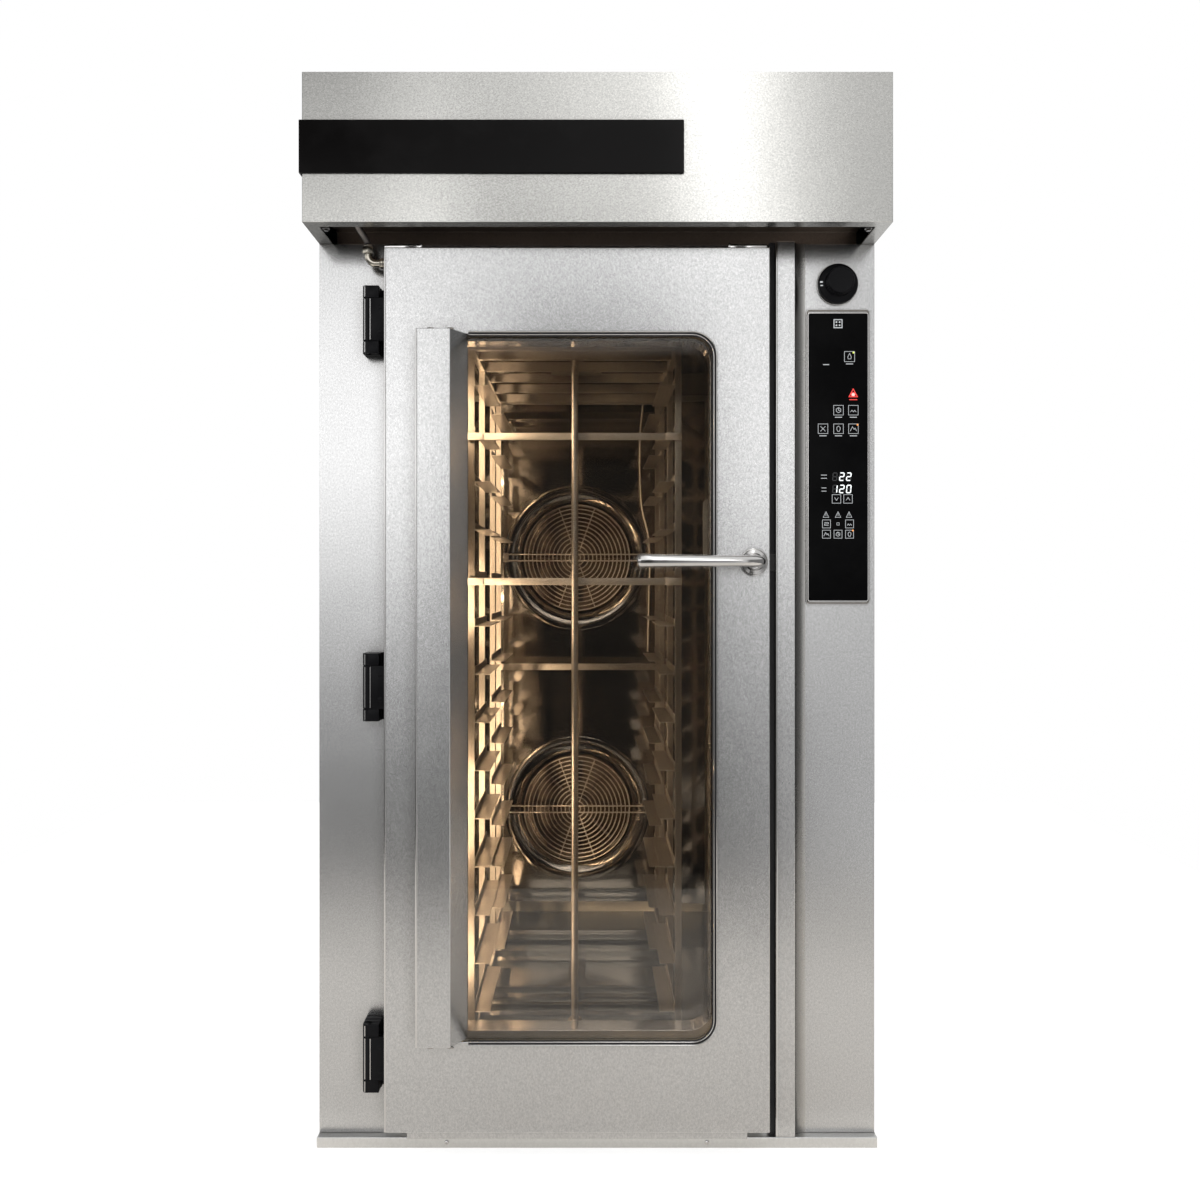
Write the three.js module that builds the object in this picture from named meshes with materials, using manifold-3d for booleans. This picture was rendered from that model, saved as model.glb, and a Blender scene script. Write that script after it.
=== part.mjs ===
// Rotating rack oven for 400 x 600 mm baking trays: steel cabinet with a canopy hood, a glazed door
// hinged on the left, a rack of fourteen tray levels that turns on a belt drive, and two rear fans.
// Millimetres. X runs to the right, Y runs back from the plinth's front face, Z runs up from the floor.
import * as THREE from "three";
import { mergeVertices } from "three/addons/utils/BufferGeometryUtils.js";
import Module from "manifold-3d";

const wasm = await Module();
wasm.setup();

// ---- Driving dimensions ----
const GAP = 0.3; // between pieces that touch
const SHEET = 2; // cabinet sheet metal

const CABINET = { left: -520, right: 520, depth: 1250, plinth: 20, top: 1684 };
const RECESS = 16; // hinge stile and control fascia lie behind the plinth's face
const REAR_INSET = 4; // back panel and hood end short of the plinth, which guards their screws
const RETURNS = { side: 25, front: 30, deep: 58 }; // folded edges of the cabinet's sheets
const KEEPER = { reach: 12, front: 6, back: 20, height: 34 };
const COOLING_SLOT = { width: 240, height: 8, pitch: 22, count: 8 };
const STILE_RIGHT = -394;
const POST = { left: 332, right: 368 };

const CHAMBER = { left: -444, right: 356, floor: 88, ceiling: 1600, front: 62, back: 1038 };
const JACKET = { left: -515, right: 420, top: 1681.5 };
const THROAT = { left: -358, right: 292, bottom: 95, top: 1600, front: 20, back: 60 };
const REAR_WALL = 1100;
const FLOOR_BUSH = { radius: 30, above: 5, below: 20, bore: 13, bottom: 60 };
const TOP_BEARING = { flange: 45, flangeHeight: 12, radius: 34, height: 34 };

const DOOR = { left: -389, right: 315.5, bottom: 45, top: 1662, front: -30, back: 16 };
const WINDOW = { left: -292, right: 219, bottom: 206, top: 1508, radius: 46 };
const TRIM_WIDTH = 9;
const GLASS = 6;
const PLUG = { left: -340, right: 276, bottom: 110, top: 1585, back: 56 };
const RELEASE_BAR = { left: 204, right: 224, bottom: 1075, top: 1210, thick: 4, round: 9.9 };
const ROSETTE = { radius: 25.5, rim: -35, face: -40, collar: 5, play: 0.6 };
const HINGE = { x: -423, y: -12, knuckle: 8.5, pin: 4, height: 125, bottoms: [1471, 795, 113] };
const HANDLE = { x: 286, z: 1087, tip: 67, reach: 110, tube: 9.5, tipTube: 12, bend: 40 };
const LAMPS = { bottom: 360, pitch: 240, count: 5, radius: 8, length: 34, inset: 6, rail: 8 };
const LAMP_COVER = { left: -325, front: -70, bevel: -263, right: -236, bottom: 219, top: 1504 };

const HOOD = { front: -95, top: 1948, flange: 25 };
const BAND = { left: -524.5, right: 152, bottom: 1769, top: 1862, proud: 4, wrap: 120 };
const FLUE = { x: 180, y: 700, radius: 75, height: 60, flange: 22, thick: 3 };
const FILTER = { half: 495, front: -90, back: 45, bottom: 1716, top: 1728 };
const CONDUIT = { radius: 5, start: [-441, -46, 1715], end: 1672 };
const ELBOW = { z: 1631, radius: 6, nut: 10, nutBottom: 1648, nutTop: 1663, gland: 9, glandLength: 12 };

const SCREEN = { left: 395.4, right: 505.9, bottom: 1016.4, top: 1553 };
const SCREEN_THICK = 3.2;
const BEZEL = { width: 4.5, extraTop: 4, extraBottom: 3, round: 3, thick: 4.2 };
const CONTROL_BOX = { left: 423, right: 512, front: 62, back: 250, bottom: 980, top: 1660 };
const KNOB = { x: 450, z: 1608, skirt: 37, cap: 24.5, face: -15, step: 4, shaft: 4, shaftEnd: 45 };

const RACK = { x: -44, y: 519, width: 443, depth: 610, bottom: 95, base: 15, top: 1554, head: 21 };
const BAR = { width: 13.4, thick: 6 };
const TRAYS = { levels: 14, first: 161, pitch: 100, runner: 33, sheet: 2, lip: 14 };
// Distances of the runners' ends, the posts and the cross bars from the rack's front.
const RUNNERS = { front: [0, 234], rear: [344, 610] };
const POSTS = { front: [0, 200], rear: [444, 604] };
const TOP_BARS = [93, 207, 323, 451, 575];
const BASE_BARS = [68, 157, 249, 469, 585];
const STOP = { radius: 7, out: 7, bend: 1496, bars: [1045.2, 1345.6], height: 14.6, sleeve: 14.5 };
const REAR_BAR = { bottom: 815, height: 17 };

const FANS = { x: -48, heights: { upper: 1122, lower: 412 } };
const BAFFLE = { y: 938, wing: 915, flat: 222, bottom: 150, top: 1560, sheet: 2.5, margin: 45 };
const INLET = { outer: 203, inner: 152, depth: 24, lap: 1.2 }; // its flange laps both of the baffle's faces
const GUARD = { radius: 150, rings: 6, wire: 3, rodOffset: 9, rodReach: 200, y: 934 };
const IMPELLER = { radius: 148, front: 968, back: 1019, blades: 8 };
const SHAFT = 10;
const MOTOR = { flange: 80, body: 66, cowl: 70, length: 132 };
const HEATER = { reach: 212, depth: 992, round: 60, radius: 6, tail: 50 };

const DRIVE = { x: 230, rackPulley: 98, motorPulley: 38, bottom: 1735, top: 1755, belt: 4 };
const GEARBOX = { half: 60, bottom: 1776, top: 1850, motor: 58, motorTop: 1938 };
const BRACKET = { half: 55, thick: 6, foot: 26, footThick: 4, top: 1800 };
const SPINDLE = 17;

// ---- Materials ----
const finish = (color, roughness, metalness, more = {}) =>
  new THREE.MeshStandardMaterial({ color, roughness, metalness, ...more });
const materials = {
  brushed: finish(0xc2c2c0, 0.34, 1),
  polished: finish(0xcfc9c0, 0.16, 1),
  bar: finish(0xb9b4ab, 0.26, 1),
  galvanised: finish(0x9da1a3, 0.5, 0.9),
  insulation: finish(0x8c8d8a, 0.85, 0.2),
  blackPlastic: finish(0x0e0e0f, 0.45, 0),
  blackGloss: finish(0x050506, 0.12, 0),
  glass: finish(0x20262a, 0.05, 0, { transparent: true, opacity: 0.3 }),
  rubber: finish(0x1a1a1a, 0.8, 0),
  motor: finish(0x3b4045, 0.5, 0.4),
  lamp: finish(0xffd9a0, 0.3, 0),
};

// ---- Geometry helpers ----
const FULL_TURN = 2 * Math.PI;

function box(x0, x1, y0, y1, z0, z1) {
  const geometry = new THREE.BoxGeometry(x1 - x0, y1 - y0, z1 - z0);
  return geometry.translate((x0 + x1) / 2, (y0 + y1) / 2, (z0 + z1) / 2);
}

// A closed outline of [a, b] points.
const outline = (points) => new THREE.Shape(points.map(([a, b]) => new THREE.Vector2(a, b)));

// A rectangle with round corners; a radius of 0 leaves them square.
function rectangle(a0, a1, b0, b1, radius = 0) {
  if (!radius) return outline([[a0, b0], [a1, b0], [a1, b1], [a0, b1]]);
  const shape = new THREE.Shape();
  shape.absarc(a1 - radius, b0 + radius, radius, -Math.PI / 2, 0);
  shape.absarc(a1 - radius, b1 - radius, radius, 0, Math.PI / 2);
  shape.absarc(a0 + radius, b1 - radius, radius, Math.PI / 2, Math.PI);
  shape.absarc(a0 + radius, b0 + radius, radius, Math.PI, 1.5 * Math.PI);
  shape.closePath();
  return shape;
}

function withHoles(shape, ...holes) {
  shape.holes.push(...holes);
  return shape;
}

// An outline in the XY plane, extruded from z0 up to z1.
function upright(shape, z0, z1, curveSegments = 6) {
  const options = { depth: z1 - z0, bevelEnabled: false, curveSegments };
  return new THREE.ExtrudeGeometry(shape, options).translate(0, 0, z0);
}

// An outline in the XZ plane, extruded from y0 back to y1.
function plate(shape, y0, y1, curveSegments = 6) {
  return upright(shape, -y1, -y0, curveSegments).rotateX(Math.PI / 2);
}

// A profile of [radius, height] points turned about Z, or about Y when its axis is "y".
function turned(profile, segments, axis = "z") {
  const points = profile.map(([radius, height]) => new THREE.Vector2(radius, height));
  const geometry = new THREE.LatheGeometry(points, segments);
  return axis === "z" ? geometry.rotateX(Math.PI / 2) : geometry;
}

// A cylinder between two heights of its axis, standing at (a, b) in the other two directions.
function cylinder(axis, a, b, low, high, radius, segments = 16) {
  const geometry = new THREE.CylinderGeometry(radius, radius, high - low, segments);
  const middle = (low + high) / 2;
  if (axis === "y") return geometry.translate(a, middle, b);
  if (axis === "z") return geometry.rotateX(Math.PI / 2).translate(a, b, middle);
  return geometry.rotateZ(Math.PI / 2).translate(middle, a, b);
}

// A round tube along a curve.
function tube(curve, radius, sides, steps) {
  const section = new THREE.Shape(
    Array.from({ length: sides }, (_, i) => {
      const angle = (FULL_TURN * i) / sides;
      return new THREE.Vector2(radius * Math.cos(angle), radius * Math.sin(angle));
    }),
  );
  return new THREE.ExtrudeGeometry(section, { extrudePath: curve, steps });
}

const curveThrough = (...points) =>
  new THREE.CatmullRomCurve3(points.map((point) => new THREE.Vector3(...point)));

function solidOf(geometry) {
  const bare = geometry.index ? geometry.toNonIndexed() : geometry.clone();
  bare.deleteAttribute("normal");
  bare.deleteAttribute("uv");
  const merged = mergeVertices(bare, 1e-3);
  return new wasm.Manifold(
    new wasm.Mesh({
      numProp: 3,
      vertProperties: merged.attributes.position.array,
      triVerts: new Uint32Array(merged.index.array),
    }),
  );
}

function geometryOf(solid) {
  const mesh = solid.getMesh();
  const geometry = new THREE.BufferGeometry();
  geometry.setAttribute("position", new THREE.BufferAttribute(mesh.vertProperties, 3));
  geometry.setIndex(new THREE.BufferAttribute(mesh.triVerts, 1));
  const flat = geometry.toNonIndexed();
  flat.computeVertexNormals();
  return flat;
}

const join = (first, ...others) =>
  geometryOf(others.reduce((sum, other) => sum.add(solidOf(other)), solidOf(first)));
const cut = (first, ...tools) =>
  geometryOf(tools.reduce((rest, tool) => rest.subtract(solidOf(tool)), solidOf(first)));

// ---- The assembly ----
const oven = new THREE.Group();
const body = new THREE.Group(); // the row origin is the centre of the base's underside
body.position.y = -CABINET.depth / 2;
oven.add(body);

function piece(name, material, geometry, parent = body) {
  const mesh = new THREE.Mesh(geometry, materials[material]);
  mesh.name = name;
  parent.add(mesh);
  return mesh;
}

// ---- Cabinet ----
const panelBottom = CABINET.plinth + GAP;
const panelTop = CABINET.top - GAP;
const cabinetBack = CABINET.depth - REAR_INSET - SHEET;

function buildCabinet() {
  const { left, right, depth, plinth } = CABINET;
  piece("base_frame", "brushed", box(left - 1, right + 1, 0, depth, 0, plinth));

  const frontReturn = RECESS + RETURNS.front;
  const sideFront = frontReturn + GAP;
  const sidePanel = (outer, inward) =>
    upright(
      outline([
        [outer, sideFront],
        [outer + inward * SHEET, sideFront],
        [outer + inward * SHEET, cabinetBack - SHEET - GAP],
        [outer + inward * RETURNS.side, cabinetBack - SHEET - GAP],
        [outer + inward * RETURNS.side, cabinetBack - GAP],
        [outer, cabinetBack - GAP],
      ]),
      panelBottom,
      panelTop,
    );
  piece("left_side_panel", "brushed", sidePanel(left, 1));
  piece("right_side_panel", "brushed", sidePanel(right, -1));

  // Back panel with two fields of cooling slots behind the fan motors.
  const { width, height: slotHeight, pitch, count } = COOLING_SLOT;
  const slots = Object.values(FANS.heights).flatMap((height) =>
    Array.from({ length: count }, (_, i) => {
      const z = height + (i - (count - 1) / 2) * pitch;
      const x0 = FANS.x - width / 2;
      return rectangle(x0, x0 + width, z - slotHeight / 2, z + slotHeight / 2);
    }),
  );
  const backPanel = withHoles(rectangle(left, right, panelBottom, panelTop), ...slots);
  piece("back_panel", "galvanised", plate(backPanel, cabinetBack, cabinetBack + SHEET));

  // A folded channel: its face looks forward and both edges turn back.
  const channel = (x0, x1, face, leftReturn, rightReturn) =>
    outline([
      [x0, face],
      [x1, face],
      [x1, rightReturn],
      [x1 - SHEET, rightReturn],
      [x1 - SHEET, face + SHEET],
      [x0 + SHEET, face + SHEET],
      [x0 + SHEET, leftReturn],
      [x0, leftReturn],
    ]);
  const { deep } = RETURNS;
  const stile = channel(left, STILE_RIGHT, RECESS, frontReturn, deep);
  piece("hinge_stile", "brushed", upright(stile, panelBottom, panelTop));

  // The lock post stands flush with the plinth and carries the keeper of the door's latch.
  const post = upright(channel(POST.left, POST.right, 0, deep, deep), panelBottom, panelTop);
  const keeper = box(
    POST.left - KEEPER.reach,
    POST.left + SHEET / 2,
    KEEPER.front,
    KEEPER.back,
    HANDLE.z - KEEPER.height / 2,
    HANDLE.z + KEEPER.height / 2,
  );
  piece("lock_post", "brushed", join(post, keeper));

  const fascia = channel(POST.right + GAP, right, RECESS, deep, frontReturn);
  const knobHole = cylinder("y", KNOB.x, KNOB.z, 0, deep, KNOB.shaft + 2 * GAP, 12);
  piece("control_fascia", "brushed", cut(upright(fascia, panelBottom, panelTop), knobHole));
}

function buildControls() {
  const { left, right, bottom, top } = SCREEN;
  const back = RECESS - GAP;
  const screen = plate(rectangle(left, right, bottom, top), back - SCREEN_THICK, back);
  piece("control_screen", "blackGloss", screen);
  const inner = rectangle(left - GAP, right + GAP, bottom - GAP, top + GAP);
  const { width, extraTop, extraBottom, round, thick } = BEZEL;
  const outer = rectangle(
    left - width,
    right + width,
    bottom - width - extraBottom,
    top + width + extraTop,
    round,
  );
  piece("control_bezel", "polished", plate(withHoles(outer, inner), back - thick, back, 3));

  const housing = CONTROL_BOX;
  const shell = box(
    housing.left,
    housing.right,
    housing.front,
    housing.back,
    housing.bottom,
    housing.top,
  );
  piece("control_box", "galvanised", shell);

  // The knob turns on a shaft through the fascia.
  const { x, z, skirt, cap, face, step, shaft, shaftEnd } = KNOB;
  const knobProfile = [
    [0, face],
    [cap - 2, face],
    [cap, face + 2],
    [cap + 1, step],
    [skirt - 1, step + 1],
    [skirt, step + 3],
    [skirt, back],
    [shaft, back],
    [shaft, shaftEnd],
    [0, shaftEnd],
  ];
  const knob = piece("selector_knob", "blackPlastic", turned(knobProfile, 28, "y"));
  knob.position.set(x, 0, z);
}

// ---- Baking chamber ----
function buildChamber() {
  const { left, right, floor, ceiling, front, back } = CHAMBER;
  const surround = withHoles(
    rectangle(STILE_RIGHT + GAP, POST.left - GAP, panelBottom, panelTop),
    rectangle(THROAT.left, THROAT.right, THROAT.bottom, THROAT.top),
  );
  piece("door_surround", "brushed", plate(surround, THROAT.front, THROAT.back));

  // The floor holds the bush of the rack's lower pivot.
  const slab = box(JACKET.left, JACKET.right, front, back, panelBottom, floor);
  const { radius, above, below, bore, bottom } = FLOOR_BUSH;
  const bush = cylinder("z", RACK.x, RACK.y, floor - below, floor + above, radius, 24);
  const socket = cylinder("z", RACK.x, RACK.y, bottom, floor + 2 * above, bore, 16);
  piece("chamber_floor", "polished", cut(join(slab, bush), socket));

  // An arch of sheet or wool over the chamber, from x0 to x1 and up to z1, wall thickness apart.
  const arch = (outer, inner) =>
    outline([
      [outer[0], floor + GAP],
      [inner[0], floor + GAP],
      [inner[0], inner[2]],
      [inner[1], inner[2]],
      [inner[1], floor + GAP],
      [outer[1], floor + GAP],
      [outer[1], outer[2]],
      [outer[0], outer[2]],
    ]);
  const spindleHole = cylinder("z", RACK.x, RACK.y, ceiling - 5, CABINET.top + 5, SPINDLE + 5, 20);
  const liner = arch(
    [left - SHEET, right + SHEET, ceiling + SHEET],
    [left, right, ceiling],
  );
  piece("chamber_liner", "polished", cut(plate(liner, front, back), spindleHole));
  const wool = SHEET + GAP;
  const jacket = arch(
    [JACKET.left, JACKET.right, JACKET.top],
    [left - wool, right + wool, ceiling + wool],
  );
  piece("insulation_jacket", "insulation", cut(plate(jacket, front, back), spindleHole));

  const rearShape = rectangle(JACKET.left, JACKET.right, panelBottom, JACKET.top);
  const rear = plate(rearShape, back + GAP, REAR_WALL);
  const shaftHoles = Object.values(FANS.heights).map((height) =>
    cylinder("y", FANS.x, height, back - 1, REAR_WALL + 1, SHAFT + 6, 16),
  );
  piece("rear_wall", "insulation", cut(rear, ...shaftHoles));

  // The top deck carries the flanged bearing of the rack's spindle.
  const deckHalf = CABINET.right - 2 * SHEET;
  const deckBack = cabinetBack - SHEET - 4 * GAP;
  const deck = box(-deckHalf, deckHalf, front, deckBack, JACKET.top + GAP, panelTop);
  const play = SPINDLE + GAP;
  const bearing = TOP_BEARING;
  const housing = turned(
    [
      [play, 0],
      [bearing.flange, 0],
      [bearing.flange, bearing.flangeHeight],
      [bearing.radius, bearing.height],
      [play, bearing.height],
      [play, 0],
    ],
    24,
  );
  housing.translate(RACK.x, RACK.y, panelTop - 1);
  const spindleBore = cylinder("z", RACK.x, RACK.y, ceiling, HOOD.top, play, 24);
  piece("top_deck", "galvanised", cut(join(deck, housing), spindleBore));
}

// ---- Fans behind the baffle ----
function buildFans() {
  // The baffle's middle is flat and its two wings lean forward to the side walls.
  const { y, wing, flat, bottom, top, sheet, margin } = BAFFLE;
  const edges = [CHAMBER.left + margin, CHAMBER.right - margin];
  const folds = [FANS.x - flat, FANS.x + flat];
  const line = [[edges[0], wing], [folds[0], y], [folds[1], y], [edges[1], wing]];
  const section = outline([...line, ...line.map(([x, depth]) => [x, depth + sheet]).reverse()]);
  const heights = Object.values(FANS.heights);
  const openings = heights.map((z) =>
    cylinder("y", FANS.x, z, y - 10, y + 10, INLET.outer - 8, 28),
  );
  // Each inlet is a bell mouth that narrows towards its fan.
  const bell = [
    [INLET.outer, -INLET.lap],
    [INLET.outer, sheet + INLET.lap],
    [INLET.outer - 12, sheet + INLET.lap],
    [INLET.inner + 22, 8],
    [INLET.inner + 2, INLET.depth],
    [INLET.inner, INLET.depth],
    [INLET.inner + 19, 4],
    [INLET.outer - 12, -INLET.lap],
    [INLET.outer, -INLET.lap],
  ];
  const mouths = heights.map((z) => turned(bell, 32, "y").translate(FANS.x, y, z));
  const sheetMetal = cut(upright(section, bottom, top), ...openings);
  piece("fan_baffle", "polished", join(sheetMetal, ...mouths));

  for (const [place, z] of Object.entries(FANS.heights)) {
    piece(`${place}_fan_guard`, "bar", guardGeometry()).position.set(FANS.x, GUARD.y, z);
    piece(`${place}_fan_impeller`, "galvanised", impellerGeometry()).position.set(FANS.x, 0, z);
    piece(`${place}_fan_motor`, "motor", motorGeometry()).position.set(FANS.x, 0, z);
  }

  // One tubular heater loops round both fans and its ends leave through the rear wall.
  const { reach, depth, round, tail } = HEATER;
  const [high, low] = [FANS.heights.upper + reach, FANS.heights.lower - reach];
  const exit = CHAMBER.back - GAP;
  const half = [
    [tail, exit, low],
    [tail, exit - 20, low],
    [tail + 12, depth + 8, low],
    [tail + 40, depth, low],
    [reach - round, depth, low],
    [reach, depth, low + round],
    [reach, depth, (low + high) / 2],
    [reach, depth, high - round],
    [reach - round, depth, high],
  ];
  const mirrored = half.map(([aside, ...rest]) => [-aside, ...rest]);
  const loop = curveThrough(
    ...[...mirrored, [0, depth, high], ...half.reverse()].map(([aside, ...rest]) => [
      FANS.x + aside,
      ...rest,
    ]),
  );
  piece("heating_element", "motor", tube(loop, HEATER.radius, 6, 64));
}

// Concentric wire rings on two cross rods, screwed to the baffle at the rods' ends.
function guardGeometry() {
  const { radius, rings, wire, rodOffset, rodReach, y } = GUARD;
  const seat = BAFFLE.y - INLET.lap - GAP - y;
  const pad = { halfWidth: 5, halfHeight: 14 };
  const parts = [];
  for (let i = 1; i <= rings; i++) {
    const r = (radius * i) / rings;
    const ring = new THREE.Shape().absarc(0, 0, r, 0, FULL_TURN);
    ring.holes.push(new THREE.Path().absarc(0, 0, r - wire, 0, FULL_TURN));
    parts.push(plate(ring, 0, wire, 10));
  }
  for (const z of [-rodOffset, rodOffset]) parts.push(box(-rodReach, rodReach, -2, 1, z - 2, z + 2));
  for (const side of [-1, 1]) {
    const x = side * rodReach;
    const { halfWidth, halfHeight } = pad;
    parts.push(box(x - halfWidth, x + halfWidth, -wire, seat, -halfHeight, halfHeight));
  }
  parts.push(box(-wire / 2, wire / 2, -1, 1, -radius + 1, radius - 1));
  return join(...parts);
}

// Straight radial blades between a back plate and a shroud ring, on a hub with its shaft.
function impellerGeometry() {
  const { radius, front, back, blades } = IMPELLER;
  const hub = turned(
    [
      [0, front + 10],
      [22, front + 10],
      [26, back - 3],
      [radius, back - 3],
      [radius, back],
      [SHAFT, back],
      [SHAFT, REAR_WALL],
      [0, REAR_WALL],
    ],
    20,
    "y",
  );
  const shroud = new THREE.Shape().absarc(0, 0, radius, 0, FULL_TURN);
  shroud.holes.push(new THREE.Path().absarc(0, 0, radius - 18, 0, FULL_TURN));
  const parts = [plate(shroud, front, front + 2, 10)];
  for (let i = 0; i < blades; i++) {
    const blade = box(60, radius - 1, front + 1, back - 2, -1, 1);
    parts.push(blade.rotateY((FULL_TURN * i) / blades));
  }
  return join(hub, ...parts);
}

function motorGeometry() {
  const front = REAR_WALL + GAP;
  const { flange, body: casing, cowl, length } = MOTOR;
  const profile = [
    [0, front],
    [flange, front],
    [flange, front + 8],
    [casing, front + 10],
    [casing, front + length - 36],
    [cowl, front + length - 34],
    [cowl, front + length - 4],
    [cowl - 10, front + length],
    [0, front + length],
  ];
  return turned(profile, 22, "y");
}

// ---- Hood and drive ----
function buildHood() {
  const { left, right, depth, top: bottom } = CABINET;
  const { front, top, flange } = HOOD;
  const back = depth - REAR_INSET;
  const shell = box(left, right, front, back, bottom, top);
  const inside = (inset, z0, z1) =>
    box(left + inset, right - inset, front + inset, back - inset, z0, z1);
  const hollow = inside(SHEET, bottom + SHEET, top - SHEET);
  const mouth = inside(flange, bottom - 1, bottom + 3);
  const flueHole = cylinder("z", FLUE.x, FLUE.y, top - 10, top + 10, FLUE.radius - SHEET, 32);
  piece("hood_shell", "brushed", cut(shell, hollow, mouth, flueHole));

  // A gloss band lies on the hood's face and wraps round its left corner.
  const face = front - GAP;
  const side = left - GAP;
  const band = outline([
    [BAND.left, front - BAND.proud],
    [BAND.right, front - BAND.proud],
    [BAND.right, face],
    [side, face],
    [side, front + BAND.wrap],
    [BAND.left, front + BAND.wrap],
  ]);
  piece("hood_band", "blackGloss", upright(band, BAND.bottom, BAND.top));

  // The grease filter spans the canopy, and its back edge drops to close the gap above the cabinet.
  const { half } = FILTER;
  const panel = box(-half, half, FILTER.front, FILTER.back, FILTER.bottom, FILTER.top);
  const skirtBack = FILTER.back - 1;
  const skirt = box(2 - half, half - 2, skirtBack - 3, skirtBack, bottom + GAP, FILTER.top - 1);
  piece("hood_filter", "galvanised", join(panel, skirt));

  const { x, y, radius, height, flange: collarFlange, thick } = FLUE;
  const base = top + GAP;
  const collar = turned(
    [
      [radius - SHEET, 0],
      [radius + collarFlange, 0],
      [radius + collarFlange, thick],
      [radius, thick],
      [radius, height],
      [radius - SHEET, height],
      [radius - SHEET, 0],
    ],
    32,
  );
  piece("flue_collar", "galvanised", collar).position.set(x, y, base);

  // The conduit of the door lamps hangs from the hood to the swivel elbow on the hinge axis.
  const { start, end, radius: hose } = CONDUIT;
  const conduit = curveThrough(
    start,
    [start[0] + 1, start[1] + 1, start[2] - 10],
    [-436, -34, 1694],
    [-427, -18, 1684],
    [HINGE.x, HINGE.y, end + 3],
    [HINGE.x, HINGE.y, end + GAP],
  );
  piece("lamp_conduit", "bar", tube(conduit, hose, 8, 14));
}

function buildDrive() {
  const { x, rackPulley, motorPulley, bottom, top, belt } = DRIVE;
  const y = RACK.y;
  const { half, bottom: boxBottom, top: boxTop } = GEARBOX;
  const gearbox = box(x - half, x + half, y - half, y + half, boxBottom, boxTop);
  const motor = cylinder("z", x, y, boxTop - 1, GEARBOX.motorTop, GEARBOX.motor, 22);

  // Two angle brackets stand on the top deck and hold the gearbox from front and back.
  const brackets = [-1, 1].flatMap((side) => {
    const across = (from, to) => [y + side * from, y + side * to].sort((a, b) => a - b);
    const wall = across(half, half + BRACKET.thick);
    const foot = across(half + BRACKET.thick, half + BRACKET.thick + BRACKET.foot);
    const { half: wide, top: wallTop, footThick } = BRACKET;
    return [
      box(x - wide, x + wide, ...wall, CABINET.top, wallTop),
      box(x - wide, x + wide, ...foot, CABINET.top, CABINET.top + footThick),
    ];
  });
  piece("rack_gearmotor", "motor", join(gearbox, motor, ...brackets));

  const shaftTop = boxBottom - GAP;
  const pulley = turned(
    [[0, bottom], [motorPulley, bottom], [motorPulley, top], [9, top], [9, shaftTop], [0, shaftTop]],
    22,
  );
  piece("drive_pulley", "galvanised", pulley).position.set(x, y, 0);

  // The belt's outline: an arc round each pulley, joined by the two outer tangents.
  const reach = x - RACK.x;
  const beltLine = (extra) => {
    const lean = Math.acos((rackPulley - motorPulley) / reach);
    const path = new THREE.Shape();
    path.absarc(RACK.x, y, rackPulley + extra, lean, FULL_TURN - lean);
    path.absarc(x, y, motorPulley + extra, -lean, lean);
    path.closePath();
    return path;
  };
  const loop = withHoles(beltLine(GAP + belt), beltLine(GAP));
  piece("drive_belt", "rubber", upright(loop, bottom + 3, top - 3, 12));
}

// ---- Door ----
const windowShape = (inset) =>
  rectangle(
    WINDOW.left + inset,
    WINDOW.right - inset,
    WINDOW.bottom + inset,
    WINDOW.top - inset,
    WINDOW.radius - inset,
  );
const doorShape = (inset) =>
  rectangle(DOOR.left + inset, DOOR.right - inset, DOOR.bottom + inset, DOOR.top - inset);

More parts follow.
